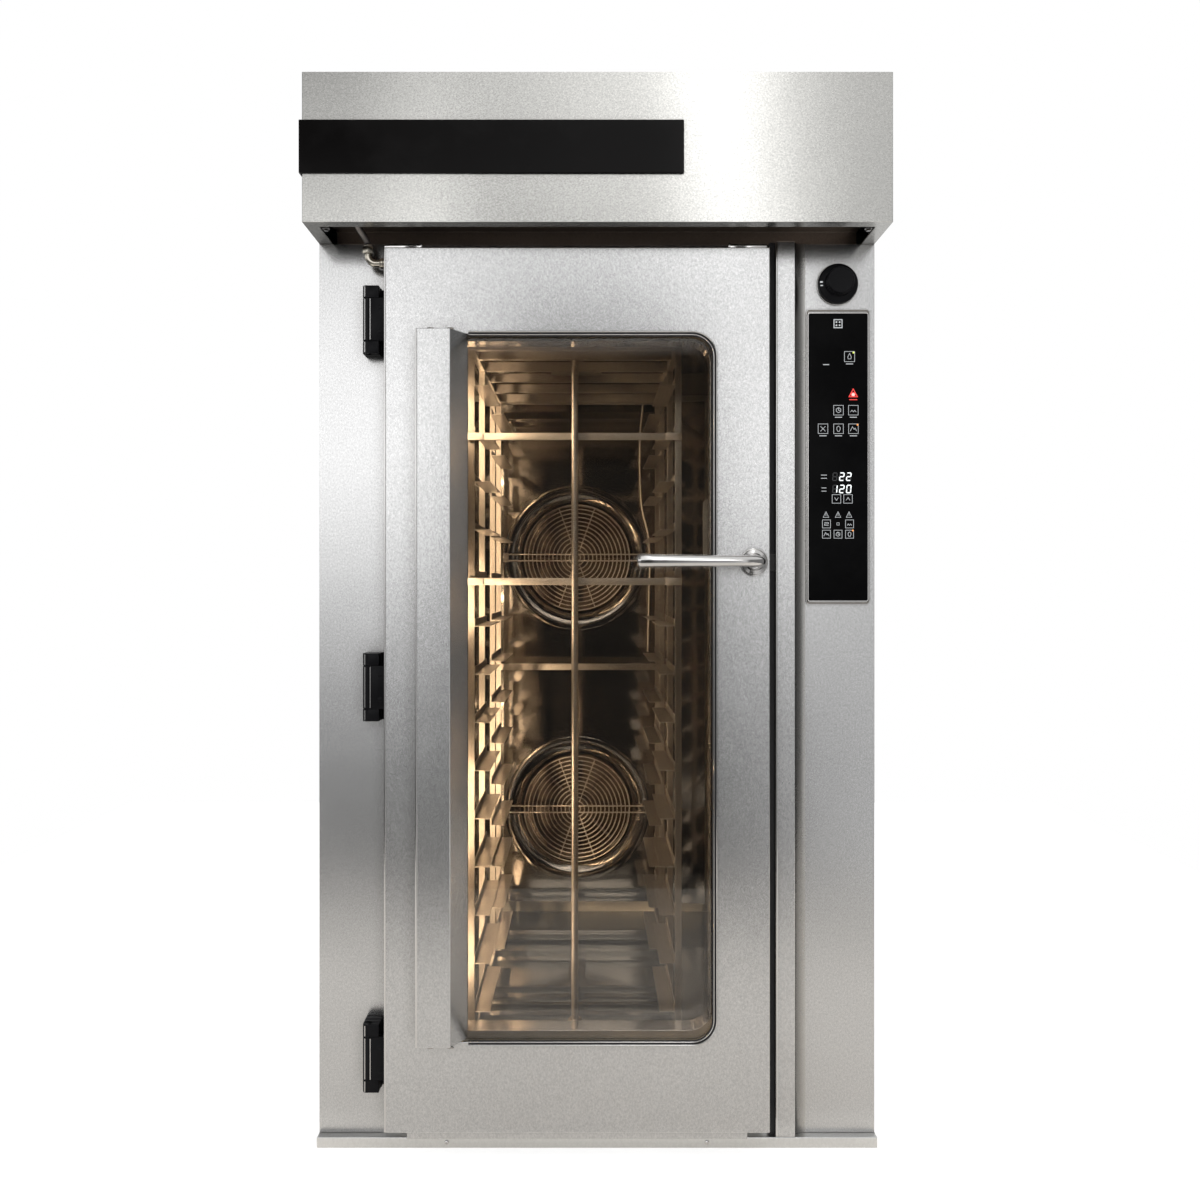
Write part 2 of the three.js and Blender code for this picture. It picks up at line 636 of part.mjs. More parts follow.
function buildDoor() {
  const skinBack = DOOR.back - SHEET - GAP;
  const glassSeat = DOOR.front + SHEET + GAP;
  const rim = plate(withHoles(doorShape(0), doorShape(SHEET)), DOOR.front, skinBack);
  const face = plate(withHoles(doorShape(0), windowShape(5)), DOOR.front, DOOR.front + SHEET);
  const spindleHole = cylinder("y", HANDLE.x, HANDLE.z, DOOR.front - 1, 0, HANDLE.tube + 1, 16);
  piece("door_skin", "brushed", cut(join(rim, face), spindleHole));

  const core = plate(withHoles(doorShape(SHEET + GAP), windowShape(-9)), glassSeat, skinBack);
  const latchPocket = cylinder("y", HANDLE.x - 2, HANDLE.z, glassSeat - 1, 0, 24, 24);
  piece("door_core", "insulation", cut(core, latchPocket));

  const pane = windowShape(-8);
  piece("outer_glass", "glass", plate(pane, glassSeat, glassSeat + GLASS));

  // The inner frame closes the door's back and plugs the throat; a flat release bar stands on it.
  const flange = plate(withHoles(doorShape(0), windowShape(7)), DOOR.back - SHEET, DOOR.back);
  const plugShape = rectangle(PLUG.left, PLUG.right, PLUG.bottom, PLUG.top);
  const block = plate(withHoles(plugShape, windowShape(7)), DOOR.back - SHEET, PLUG.back);
  piece("door_plug", "polished", join(flange, block));
  const paneFront = PLUG.back + GAP;
  piece("inner_glass", "glass", plate(windowShape(-8), paneFront, paneFront + GLASS));
  const bar = RELEASE_BAR;
  const barFront = paneFront + GLASS + GAP;
  const barHole = new THREE.Path();
  barHole.absarc((bar.left + bar.right) / 2, bar.top - 12, 4, 0, FULL_TURN);
  const barShape = rectangle(bar.left, bar.right, bar.bottom, bar.top, bar.round);
  const barPlate = plate(withHoles(barShape, barHole), barFront, barFront + bar.thick, 4);
  piece("release_bar", "bar", barPlate);

  const ring = (grow) =>
    rectangle(
      THROAT.left - grow,
      THROAT.right + grow,
      THROAT.bottom - grow,
      THROAT.top + grow,
      12,
    );
  const gasket = withHoles(ring(16), ring(1));
  piece("door_gasket", "rubber", plate(gasket, DOOR.back + GAP, THROAT.front - GAP, 3));

  // The bead round the window stops at the lamp cover.
  const trimFront = DOOR.front - 4;
  const trim = plate(withHoles(windowShape(0), windowShape(TRIM_WIDTH)), trimFront, DOOR.front - GAP);
  const behindCover = box(DOOR.left, LAMP_COVER.right + 1, trimFront - 5, 0, 0, CABINET.top);
  piece("window_trim", "polished", cut(trim, behindCover));

  buildLamps();
  buildHinges();

  const rosette = piece("handle_rosette", "polished", rosetteGeometry());
  rosette.position.set(HANDLE.x, 0, HANDLE.z);
  piece("door_handle", "polished", handleGeometry());
  piece("conduit_elbow", "bar", elbowGeometry());
}

// A turned collar round the handle's spindle.
function rosetteGeometry() {
  const { radius, rim, face, collar, play } = ROSETTE;
  const eye = HANDLE.tube + play;
  const seat = DOOR.front - GAP;
  const profile = [
    [eye, face],
    [HANDLE.tube + collar, face],
    [radius, rim],
    [radius, seat],
    [eye, seat],
    [eye, face],
  ];
  return turned(profile, 26, "y");
}

// The swivel elbow of the lamp conduit turns with the door about the hinge axis.
function elbowGeometry() {
  const { x, y } = HINGE;
  const { z, radius, nut, nutBottom, nutTop, gland, glandLength } = ELBOW;
  const edge = DOOR.left - GAP;
  return join(
    cylinder("z", x, y, z, CONDUIT.end, radius, 12),
    cylinder("z", x, y, nutBottom, nutTop, nut, 6),
    cylinder("x", y, z, x - 5, edge, radius + 0.5, 12),
    cylinder("x", y, z, edge - glandLength, edge, gland, 6),
  );
}

// The spindle leaves the door, and the lever bends left and thickens towards its tip.
function handleGeometry() {
  const { x, z, tip, reach, tube: radius, tipTube, bend } = HANDLE;
  const leverY = DOOR.front - reach;
  const spindle = cylinder("y", x, z, leverY + bend, -10, radius, 14);
  const corner = tube(
    new THREE.QuadraticBezierCurve3(
      new THREE.Vector3(x, leverY + bend + 2, z),
      new THREE.Vector3(x, leverY, z),
      new THREE.Vector3(x - bend - 2, leverY, z),
    ),
    radius,
    14,
    8,
  );
  const straight = x - bend - tip;
  const lever = new THREE.CylinderGeometry(tipTube, radius, straight, 14);
  lever.rotateZ(Math.PI / 2).translate(tip + straight / 2, leverY, z);
  const camFront = DOOR.front + 8;
  const cam = box(x - 7, x + 7, camFront, camFront + 10, z - 20, z + 20);
  return join(spindle, corner, lever, cam);
}

// The door lamps stand on a rail inside a folded cover with two end caps.
function buildLamps() {
  const { left, front, bevel, right, bottom, top } = LAMP_COVER;
  const seat = DOOR.front - GAP;
  const wall = 1.6;
  const outer = [[left, seat], [left, front], [bevel, front], [right, seat]];
  const inner = [
    [right - 2 * wall, seat],
    [bevel - wall, front + wall],
    [left + wall, front + wall],
    [left + wall, seat],
  ];
  const folded = upright(outline([...outer, ...inner]), bottom, top);
  const caps = [bottom, top - wall].map((z) => upright(outline(outer), z, z + wall));
  piece("lamp_cover", "brushed", join(folded, ...caps));

  const { inset, rail: railWidth, radius, length } = LAMPS;
  const railFront = front + inset;
  const railLeft = left + inset;
  const railRight = railLeft + railWidth;
  const rail = box(railLeft, railRight, railFront, seat - 4, bottom + 20, top - 20);
  const lampDepth = (front + seat) / 2;
  const bulbs = Array.from({ length: LAMPS.count }, (_, i) => {
    const z = LAMPS.bottom + i * LAMPS.pitch;
    return cylinder("x", lampDepth, z, railRight - 1, railRight + length, radius, 12);
  });
  piece("lamp_rail", "lamp", join(rail, ...bulbs));
}

// Three black butt hinges: the frame leaf holds the pin, the door leaf turns on it.
function buildHinges() {
  const { x, y, knuckle, pin, height, bottoms } = HINGE;
  const end = 0.18 * height;
  ["upper", "middle", "lower"].forEach((place, i) => {
    const z0 = bottoms[i];
    const z1 = z0 + height;
    const leaf = box(x - knuckle, STILE_RIGHT - 6, 2, RECESS - GAP, z0, z1);
    const ends = [[z0, z0 + end], [z1 - end, z1]].flatMap(([low, high]) => [
      cylinder("z", x, y, low, high, knuckle, 16),
      box(x - knuckle, x + knuckle, y, 3, low, high),
    ]);
    const pinRod = cylinder("z", x, y, z0 + 2, z1 - 2, pin, 12);
    piece(`${place}_hinge_frame_leaf`, "blackPlastic", join(leaf, ...ends, pinRod));

    const low = z0 + end + 0.5;
    const high = z1 - end - 0.5;
    const barrel = cylinder("z", x, y, low, high, knuckle, 16);
    const arm = box(x, DOOR.left - GAP, y - knuckle, y + knuckle - 1, low, high);
    const bore = cylinder("z", x, y, low - 1, high + 1, pin + GAP, 12);
    piece(`${place}_hinge_door_leaf`, "blackPlastic", cut(join(barrel, arm), bore));
  });
}

// ---- Rack ----
const rackLeft = RACK.x - RACK.width / 2;
const rackRight = RACK.x + RACK.width / 2;
const rackFront = RACK.y - RACK.depth / 2;
const rackBack = RACK.y + RACK.depth / 2;
const baseTop = RACK.bottom + RACK.base;
const headBottom = RACK.top - RACK.head;

// A rectangular frame of flat bars with cross bars at the given distances from its front.
function gridGeometry(crossBars, z0, z1) {
  const rail = BAR.width;
  const cross = 12;
  const edges = [0, ...crossBars, RACK.depth];
  const holes = edges.slice(1).map((far, i) => {
    const near = edges[i] + (i === 0 ? rail : cross / 2);
    const end = far - (i === crossBars.length ? rail : cross / 2);
    return rectangle(rackLeft + rail, rackRight - rail, rackFront + near, rackFront + end);
  });
  const frame = rectangle(rackLeft, rackRight, rackFront, rackBack);
  return upright(withHoles(frame, ...holes), z0, z1);
}

// One ladder: two upright flat bars and the runners welded to them, side -1 left or 1 right.
function ladderGeometry(side, run, posts) {
  const edge = side < 0 ? rackLeft : rackRight;
  const inward = -side;
  const [postLow, postHigh] = [edge, edge + inward * BAR.width].sort((a, b) => a - b);
  const parts = posts.map((from) => {
    const y = rackFront + from;
    return box(postLow, postHigh, y, y + BAR.thick, baseTop + GAP, headBottom - GAP);
  });
  const web = BAR.width - 1;
  for (let level = 0; level < TRAYS.levels; level++) {
    const z = TRAYS.first + level * TRAYS.pitch;
    const profile = [
      [web, z - TRAYS.sheet],
      [web + TRAYS.runner, z - TRAYS.sheet],
      [web + TRAYS.runner, z],
      [web + TRAYS.sheet, z],
      [web + TRAYS.sheet, z + TRAYS.lip],
      [web, z + TRAYS.lip],
    ].map(([a, b]) => [edge + inward * a, b]);
    parts.push(plate(outline(profile), rackFront + run[0], rackFront + run[1]));
  }
  return parts;
}

function buildRack() {
  const pivot = cylinder("z", RACK.x, RACK.y, 66, RACK.bottom + 2, 12.5, 16);
  const hubPlate = 60;
  const centrePlate = (z0, z1) =>
    box(RACK.x - hubPlate, RACK.x + hubPlate, RACK.y - 75, RACK.y + 30, z0, z1);
  const base = gridGeometry(BASE_BARS, RACK.bottom, baseTop);
  const [tieFront, tieBack] = [BASE_BARS[2] - 6, BASE_BARS[3] + 6].map((from) => rackFront + from);
  const crossTie = box(RACK.x - 20, RACK.x + 20, tieFront, tieBack, RACK.bottom, baseTop);
  piece("rack_base_frame", "bar", join(base, crossTie, pivot));
  const head = gridGeometry(TOP_BARS, headBottom, RACK.top);
  piece("rack_top_frame", "bar", join(head, centrePlate(RACK.top - 6, RACK.top)));

  for (const [row, run] of Object.entries(RUNNERS)) {
    for (const [hand, side] of [["left", -1], ["right", 1]]) {
      const parts = ladderGeometry(side, run, POSTS[row]);
      if (row === "rear" && side < 0) parts.push(rearBar());
      piece(`${row}_${hand}_ladder`, "bar", join(...parts));
    }
  }

  // The tray stop: two flat bars across the rack's front and a round rod down its middle.
  const { radius, out, bend, bars, height, sleeve } = STOP;
  const rodY = rackFront - out;
  const parts = bars.map((z) =>
    box(rackLeft, rackRight, rackFront - GAP - BAR.thick, rackFront - GAP, z, z + height),
  );
  const back = rackFront + TOP_BARS[0];
  parts.push(
    cylinder("z", RACK.x, rodY, baseTop + GAP, bend, radius, 12),
    cylinder("y", RACK.x, bend, rodY, back, radius, 12),
    cylinder("z", RACK.x, back, bend, headBottom - GAP, radius, 12),
    cylinder("z", RACK.x, rodY, baseTop + GAP, baseTop + 40, sleeve, 14),
  );
  piece("tray_stop", "bar", join(...parts));

  const { rackPulley, bottom, top } = DRIVE;
  const spindle = turned(
    [
      [0, RACK.top + GAP],
      [55, RACK.top + GAP],
      [55, RACK.top + 8],
      [SPINDLE, RACK.top + 10],
      [SPINDLE, bottom - 8],
      [30, bottom],
      [rackPulley, bottom],
      [rackPulley, top],
      [SPINDLE, top],
      [SPINDLE, top + 12],
      [0, top + 12],
    ],
    24,
  );
  piece("rack_spindle", "bar", spindle).position.set(RACK.x, RACK.y, 0);
}

// The flat bar that ties the two rear ladders, welded to the left one.
function rearBar() {
  const { bottom, height } = REAR_BAR;
  const reach = rackRight - BAR.width - GAP;
  const back = rackBack - 1;
  return box(rackLeft + 1, reach, back - BAR.thick, back, bottom, bottom + height);
}

buildCabinet();
buildControls();
buildChamber();
buildFans();
buildHood();
buildDrive();
buildDoor();
buildRack();

export default oven;
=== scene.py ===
import math
import random

import bmesh
import bpy
from mathutils import Matrix, Vector


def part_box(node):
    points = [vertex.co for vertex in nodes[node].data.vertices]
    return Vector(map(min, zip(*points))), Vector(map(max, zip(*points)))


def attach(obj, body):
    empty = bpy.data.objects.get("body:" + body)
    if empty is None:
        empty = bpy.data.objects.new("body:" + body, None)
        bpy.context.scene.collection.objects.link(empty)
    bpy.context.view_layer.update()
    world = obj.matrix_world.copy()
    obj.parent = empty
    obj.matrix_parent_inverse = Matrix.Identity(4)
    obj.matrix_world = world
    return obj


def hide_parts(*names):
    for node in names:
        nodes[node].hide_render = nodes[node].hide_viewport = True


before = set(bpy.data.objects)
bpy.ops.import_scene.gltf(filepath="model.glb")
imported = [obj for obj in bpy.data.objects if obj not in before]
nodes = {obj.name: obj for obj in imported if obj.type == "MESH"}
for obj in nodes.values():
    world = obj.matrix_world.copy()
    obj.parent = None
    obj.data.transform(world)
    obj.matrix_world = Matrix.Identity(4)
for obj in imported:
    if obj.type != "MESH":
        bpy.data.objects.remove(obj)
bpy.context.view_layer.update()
places = {name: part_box(name) for name in nodes}  # lowest and highest corner of each part
mm = 0.001
toFront, toRear, toTop = (0, -1, 0), (0, 1, 0), (0, 0, 1)
print("frame loaded:", len(nodes), "parts")


# straight on, the lens axis a little left of and above the middle of the picture
cameraSpec = {"place": (-0.0167, -2.411, 1.0473), "lens": 28.86, "shift": (0.010, -0.0133)}


def addCamera():
    data = bpy.data.cameras.new("ovenCamera")
    data.sensor_width = 36
    data.lens = cameraSpec["lens"]
    data.shift_x, data.shift_y = cameraSpec["shift"]
    data.clip_start = 0.05
    camera = bpy.data.objects.new("ovenCamera", data)
    camera.location = cameraSpec["place"]
    camera.rotation_euler = (math.pi / 2, 0, 0)
    bpy.context.collection.objects.link(camera)
    bpy.context.scene.camera = camera


addCamera()


def feed(tree, socket, value):
    # gives a socket a number, a colour or what another node puts out
    if isinstance(value, bpy.types.NodeSocket):
        tree.links.new(value, socket)
    else:
        socket.default_value = (*value, 1.0) if socket.type == "RGBA" else value


def feedAll(tree, node, values):
    for key, value in values.items():
        feed(tree, node.inputs[key], value)


def addNode(tree, kind, settings=None, **inputs):
    node = tree.nodes.new(kind)
    for key, value in (settings or {}).items():
        setattr(node, key, value)
    feedAll(tree, node, inputs)
    return node


def noiseNode(tree, vector, scale, detail=3.0, rough=0.6):
    noise = addNode(tree, "ShaderNodeTexNoise", Vector=vector, Scale=scale, Detail=detail, Roughness=rough)
    return noise.outputs["Fac"]


def mathNode(tree, operation, first, second=None, clamp=False):
    node = addNode(tree, "ShaderNodeMath", {"operation": operation, "use_clamp": clamp})
    feed(tree, node.inputs[0], first)
    if second is not None:
        feed(tree, node.inputs[1], second)
    return node.outputs[0]


def product(tree, first, second):
    return mathNode(tree, "MULTIPLY", first, second)


def largest(tree, first, *others):
    for other in others:
        first = mathNode(tree, "MAXIMUM", first, other)
    return first


def rangeNode(tree, value, low, high, toLow=0.0, toHigh=1.0):
    limits = {"From Min": low, "From Max": high, "To Min": toLow, "To Max": toHigh}
    return addNode(tree, "ShaderNodeMapRange", Value=value, **limits).outputs["Result"]


def splitAxes(tree, vector):
    return addNode(tree, "ShaderNodeSeparateXYZ", Vector=vector).outputs


def scaled(tree, vector, stretch):
    return addNode(tree, "ShaderNodeMapping", Vector=vector, Scale=stretch).outputs["Vector"]


def mixColour(tree, factor, first, second, blend="MIX"):
    node = addNode(tree, "ShaderNodeMix", {"data_type": "RGBA", "blend_type": blend}, Factor=factor)
    for label, value in (("A", first), ("B", second)):
        feed(tree, [s for s in node.inputs if s.name == label and s.type == "RGBA"][0], value)
    return [s for s in node.outputs if s.type == "RGBA"][0]


def shaded(tree, colour, share):
    node = addNode(tree, "ShaderNodeVectorMath", {"operation": "SCALE"}, Scale=share)
    feed(tree, node.inputs[0], colour)
    return node.outputs[0]


def bumpNormal(tree, height, strength, distance=0.0004, under=None):
    node = addNode(tree, "ShaderNodeBump", Height=height, Strength=strength, Distance=distance)
    if under:
        feed(tree, node.inputs["Normal"], under)
    return node.outputs["Normal"]


def newGroup(name, inputs, outputs):
    # inputs are (name, kind, value or None), outputs are names of numbers
    group = bpy.data.node_groups.new(name, "ShaderNodeTree")
    for label, kind, value in inputs:
        socket = group.interface.new_socket(label, in_out="INPUT", socket_type=kind)
        if value is not None:
            socket.default_value = value
    for label in outputs:
        group.interface.new_socket(label, in_out="OUTPUT", socket_type="NodeSocketFloat")
    source = group.nodes.new("NodeGroupInput")
    sink = group.nodes.new("NodeGroupOutput")
    return group, source.outputs, sink


def makeGrainGroup():
    # fine scratches, a broad cloudiness and patches of smears, all between 0 and 1
    inputs = [("Vector", "NodeSocketVector", None), ("Grain Vector", "NodeSocketVector", None)]
    group, given, sink = newGroup("sheetGrain", inputs, ["Grain", "Cloud", "Smudge"])
    cloud = noiseNode(group, given["Vector"], 2.3, 3.0, 0.55)
    smudge = noiseNode(group, given["Vector"], 9.0, 5.0, 0.65)
    feedAll(group, sink, {
        "Grain": noiseNode(group, given["Grain Vector"], 1.0, 4.0, 0.7),
        "Cloud": rangeNode(group, cloud, 0.3, 0.7),
        "Smudge": rangeNode(group, smudge, 0.45, 0.72),
    })
    return group


def makeRubAndShadeGroup():
    # Rub is 1 along sharp edges that handling has rubbed. The corner output is 1 in corners found by ambient
    # occlusion; it darkens them as painted shade, together with soil that stays there
    inputs = [("Vector", "NodeSocketVector", None), ("Amount", "NodeSocketFloat", 1.0)]
    group, given, sink = newGroup("rubAndShade", inputs, ["Rub", "CornerShadeAndSoil"])
    rounded = addNode(group, "ShaderNodeBevel", {"samples": 4}, Radius=0.0025)
    plain = addNode(group, "ShaderNodeNewGeometry")
    dot = addNode(group, "ShaderNodeVectorMath", {"operation": "DOT_PRODUCT"})
    feed(group, dot.inputs[0], rounded.outputs["Normal"])
    feed(group, dot.inputs[1], plain.outputs["Normal"])
    edge = rangeNode(group, dot.outputs["Value"], 0.995, 0.80)
    patch = rangeNode(group, noiseNode(group, given["Vector"], 60.0), 0.35, 0.65)
    # painted shade: ambient occlusion finds corners where light is blocked, and the colour is darkened there,
    # along with soil
    shelter = addNode(group, "ShaderNodeAmbientOcclusion", {"samples": 5}, Distance=0.035)
    feedAll(group, sink, {
        "Rub": mathNode(group, "MULTIPLY", product(group, edge, patch), given["Amount"], clamp=True),
        "CornerShadeAndSoil": rangeNode(group, shelter.outputs["AO"], 0.95, 0.35),
    })
    return group


sheetGrain = makeGrainGroup()
rubAndShade = makeRubAndShadeGroup()


def newMaterial(name):
    material = bpy.data.materials.new(name)
    material.use_nodes = True
    tree = material.node_tree
    coordinates = addNode(tree, "ShaderNodeTexCoord")
    return material, tree, tree.nodes["Principled BSDF"], coordinates.outputs["Object"]


def surfaceNodes(tree, position, stretch, rub):
    # what the two shared groups put out with a material's own values
    grain = addNode(tree, "ShaderNodeGroup", {"node_tree": sheetGrain}, Vector=position)
    feed(tree, grain.inputs["Grain Vector"], scaled(tree, position, stretch))
    wornAndShaded = addNode(tree, "ShaderNodeGroup", {"node_tree": rubAndShade}, Vector=position, Amount=rub)
    return grain.outputs, wornAndShaded.outputs


# each steel names what differs from steelBase. stretch is grain lines per metre along X, Y and Z,
# spread and cloud are how much grain and clouds darken the colour, wave is the strength of dents, the
# corner amount darkens corners as painted shade with soil, and the X range darkens between two places along X
# as painted shade
steelBase = {"stretch": (320, 320, 320), "bump": 0.08, "spread": 0.20, "aniso": 0.0, "rub": 0.5,
             "cloud": 0.12, "wave": 0.0, "shadeAndSoilAmount": 0.5, "smear": 1.2}
sheetSteel = {"colour": (0.645, 0.645, 0.645), "rough": 0.23, "stretch": (340, 340, 230), "bump": 0.12,
              "spread": 0.44, "aniso": 0.35, "rub": 0.6, "cloud": 0.07, "wave": 0.25, "smear": 1.04}
steels = {
    "hoodSteel": {"colour": (0.66, 0.655, 0.63), "rough": 0.20, "stretch": (290, 290, 380), "bump": 0.12,
                  "spread": 0.54, "aniso": 0.95, "cloud": 0.05, "wave": 0.2, "shadeAndSoilAmount": 0.35, "smear": 1.04},
    "doorSteel": {**sheetSteel, "colour": (0.655, 0.655, 0.655), "spread": 0.48, "cloud": 0.06},
    "bodySteel": sheetSteel,
    "postSteel": {**sheetSteel, "paintedShade": (0.331, 0.3322, 0.06)},  # painted shade: its keeper is darkened to the shade in the gap
    "plinthSteel": {"colour": (0.70, 0.70, 0.69), "rough": 0.34, "stretch": (300, 300, 190), "rub": 0.6,
                    "cloud": 0.06, "wave": 0.2, "shadeAndSoilAmount": 0.0},
    "brightSteel": {"colour": (0.68, 0.67, 0.66), "rough": 0.13, "stretch": (260, 260, 260), "bump": 0.05,
                    "spread": 0.08, "rub": 0.4, "cloud": 0.05, "shadeAndSoilAmount": 0.3},
    "nickel": {"colour": (0.62, 0.58, 0.50), "rough": 0.20, "stretch": (260, 260, 260), "bump": 0.04,
               "spread": 0.15, "rub": 0.4, "shadeAndSoilAmount": 0.7},
    # painted shade: darker steel that stands for shade, on the bezel's channel and the cover's weld bumps
    "shadeDarkSteel": {"colour": (0.40, 0.375, 0.35), "rough": 0.24, "stretch": (420, 420, 180), "bump": 0.07,
                    "spread": 0.18, "rub": 0.2, "cloud": 0.07, "shadeAndSoilAmount": 0.8},
    # painted shade: darker steel for the fascia's hollow, darkest at its left by the post
    "hollowShadeSteel": {"colour": (0.55, 0.54, 0.52), "rough": 0.26, "stretch": (300, 300, 190), "bump": 0.07,
                    "spread": 0.18, "rub": 0.2, "cloud": 0.07, "shadeAndSoilAmount": 0.4, "paintedShade": (0.366, 0.389, 0.16)},
    "filterSteel": {"colour": (0.48, 0.41, 0.36), "rough": 0.36, "stretch": (260, 260, 260), "bump": 0.12,
                    "spread": 0.40, "cloud": 0.30, "wave": 0.6},
    "hoseBraid": {"colour": (0.27, 0.25, 0.24), "rough": 0.30, "stretch": (900, 900, 500), "bump": 0.30,
                  "spread": 0.60, "rub": 0.6, "cloud": 0.20, "shadeAndSoilAmount": 0.4},
    "chamberSteel": {"colour": (0.58, 0.56, 0.54), "rough": 0.08, "stretch": (50, 50, 260), "bump": 0.010,
                     "spread": 0.22, "rub": 0.3, "cloud": 0.20, "wave": 0.35, "shadeAndSoilAmount": 0.45},
    "floorSteel": {"colour": (0.35, 0.35, 0.34), "rough": 0.13, "stretch": (160, 160, 160), "bump": 0.015,
                   "rub": 0.3, "wave": 0.2, "shadeAndSoilAmount": 0.10},
    "rackSteel": {"colour": (0.70, 0.67, 0.635), "rough": 0.31, "spread": 0.30, "rub": 1.0, "cloud": 0.15},
    "latchSteel": {"colour": (0.88, 0.87, 0.85), "rough": 0.50, "rub": 0.6, "cloud": 0.10, "shadeAndSoilAmount": 0.15},
    "wireSteel": {"colour": (0.92, 0.86, 0.81), "rough": 0.36, "bump": 0.05, "shadeAndSoilAmount": 0.2},
    # near-black steel for the fan impellers behind the guards
    "nearBlackSteel": {"colour": (0.10, 0.085, 0.075), "rough": 0.42, "stretch": (140, 140, 140), "bump": 0.12,
                  "spread": 0.40, "rub": 0.8, "cloud": 0.30, "wave": 0.2},
    "greySheet": {"colour": (0.44, 0.46, 0.47), "rough": 0.48, "stretch": (90, 90, 90), "bump": 0.10,
                  "spread": 0.24, "cloud": 0.15, "wave": 0.2, "shadeAndSoilAmount": 0.6},
}
shadeAndDirtShares = (0.16, 0.14, 0.12)  # of the steel's colour left in darkened corners: painted shade with soil


def steelMaterial(name, differences):
    spec = {**steelBase, **differences}
    material, tree, shader, position = newMaterial(name)
    grain, wornAndShaded = surfaceNodes(tree, position, spec["stretch"], spec["rub"])
    colour = spec["colour"]
    dark = tuple(c * (1 - spec["spread"]) for c in colour)
    light = tuple(min(1.0, c * (1 + spec["spread"] * 0.6)) for c in colour)
    shadeAndDirt = tuple(c * share for c, share in zip(colour, shadeAndDirtShares))
    cloud = rangeNode(tree, grain["Cloud"], 0.0, 1.0, 1 - spec["cloud"], 1.0)
    coat = shaded(tree, mixColour(tree, grain["Grain"], dark, light), cloud)
    # painted shade with soil: corners found by ambient occlusion are darkened
    coat = mixColour(tree, product(tree, wornAndShaded["CornerShadeAndSoil"], spec["shadeAndSoilAmount"]), coat, shadeAndDirt)
    coat = mixColour(tree, wornAndShaded["Rub"], coat, tuple(min(1.0, c * 1.3) for c in colour))
    # painted shade: the colour is darkened between two places along X
    if "paintedShade" in spec:
        start, end, share = spec["paintedShade"]
        coat = shaded(tree, coat, rangeNode(tree, splitAxes(tree, position)["X"], start, end, share, 1.0))
    rough = rangeNode(tree, grain["Smudge"], 0.0, 1.0, spec["rough"], spec["rough"] * spec["smear"])
    dented = bumpNormal(tree, grain["Cloud"], spec["wave"], 0.002) if spec["wave"] else None
    feedAll(tree, shader, {
        "Base Color": coat,
        "Roughness": mathNode(tree, "SUBTRACT", rough, product(tree, wornAndShaded["Rub"], 0.06)),
        "Normal": bumpNormal(tree, grain["Grain"], spec["bump"], under=dented),
        "Metallic": 1.0,
    })
    if spec["aniso"]:
        tangent = addNode(tree, "ShaderNodeTangent", {"direction_type": "RADIAL", "axis": "Z"})
        feedAll(tree, shader, {"Anisotropic": spec["aniso"], "Anisotropic Rotation": 0.25,
                               "Tangent": tangent.outputs["Tangent"]})
    return material


# finishes that aren't steel
plains = {
    "blackPlastic": {"colour": (0.006, 0.006, 0.007), "rough": 0.34, "grain": 700, "bump": 0.2, "rub": 0.25,
                     "gloss": 0.10},
    "glossBlack": {"colour": (0.004, 0.0035, 0.0035), "rough": 0.10, "grain": 45, "bump": 0.0, "rub": 0.15,
                   "gloss": 0.08},
    "screenBlack": {"colour": (0.002, 0.002, 0.0022), "rough": 0.12, "grain": 45, "bump": 0.0, "rub": 0.1,
                    "gloss": 0.03},
    "sealRubber": {"colour": (0.020, 0.020, 0.021), "rough": 0.72, "grain": 500, "bump": 0.35, "rub": 0.2},
    "mineralWool": {"colour": (0.42, 0.42, 0.39), "rough": 0.90, "grain": 240, "bump": 0.9, "rub": 0.0},
    "motorPaint": {"colour": (0.055, 0.062, 0.070), "rough": 0.44, "grain": 330, "bump": 0.45, "rub": 0.7},
    "heaterSteel": {"colour": (0.10, 0.075, 0.06), "rough": 0.5, "grain": 300, "bump": 0.3, "rub": 0.5},
}


def plainMaterial(name, spec):
    material, tree, shader, position = newMaterial(name)
    grain, wornAndShaded = surfaceNodes(tree, position, (spec["grain"],) * 3, spec["rub"])
    colour = spec["colour"]
    varied = mixColour(tree, grain["Smudge"], colour, tuple(c * 1.35 + 0.002 for c in colour))
    rough = rangeNode(tree, grain["Grain"], 0.3, 0.7, spec["rough"] * 0.9, spec["rough"] * 1.12)
    smeared = product(tree, grain["Smudge"], spec["rough"] * 0.35)
    feedAll(tree, shader, {
        "Base Color": mixColour(tree, wornAndShaded["Rub"], varied, tuple(c * 2.2 + 0.04 for c in colour)),
        "Roughness": mathNode(tree, "ADD", rough, smeared),
        "Specular IOR Level": spec.get("gloss", 0.5),
    })
    if spec["bump"]:
        feed(tree, shader.inputs["Normal"], bumpNormal(tree, grain["Grain"], spec["bump"]))
    return material


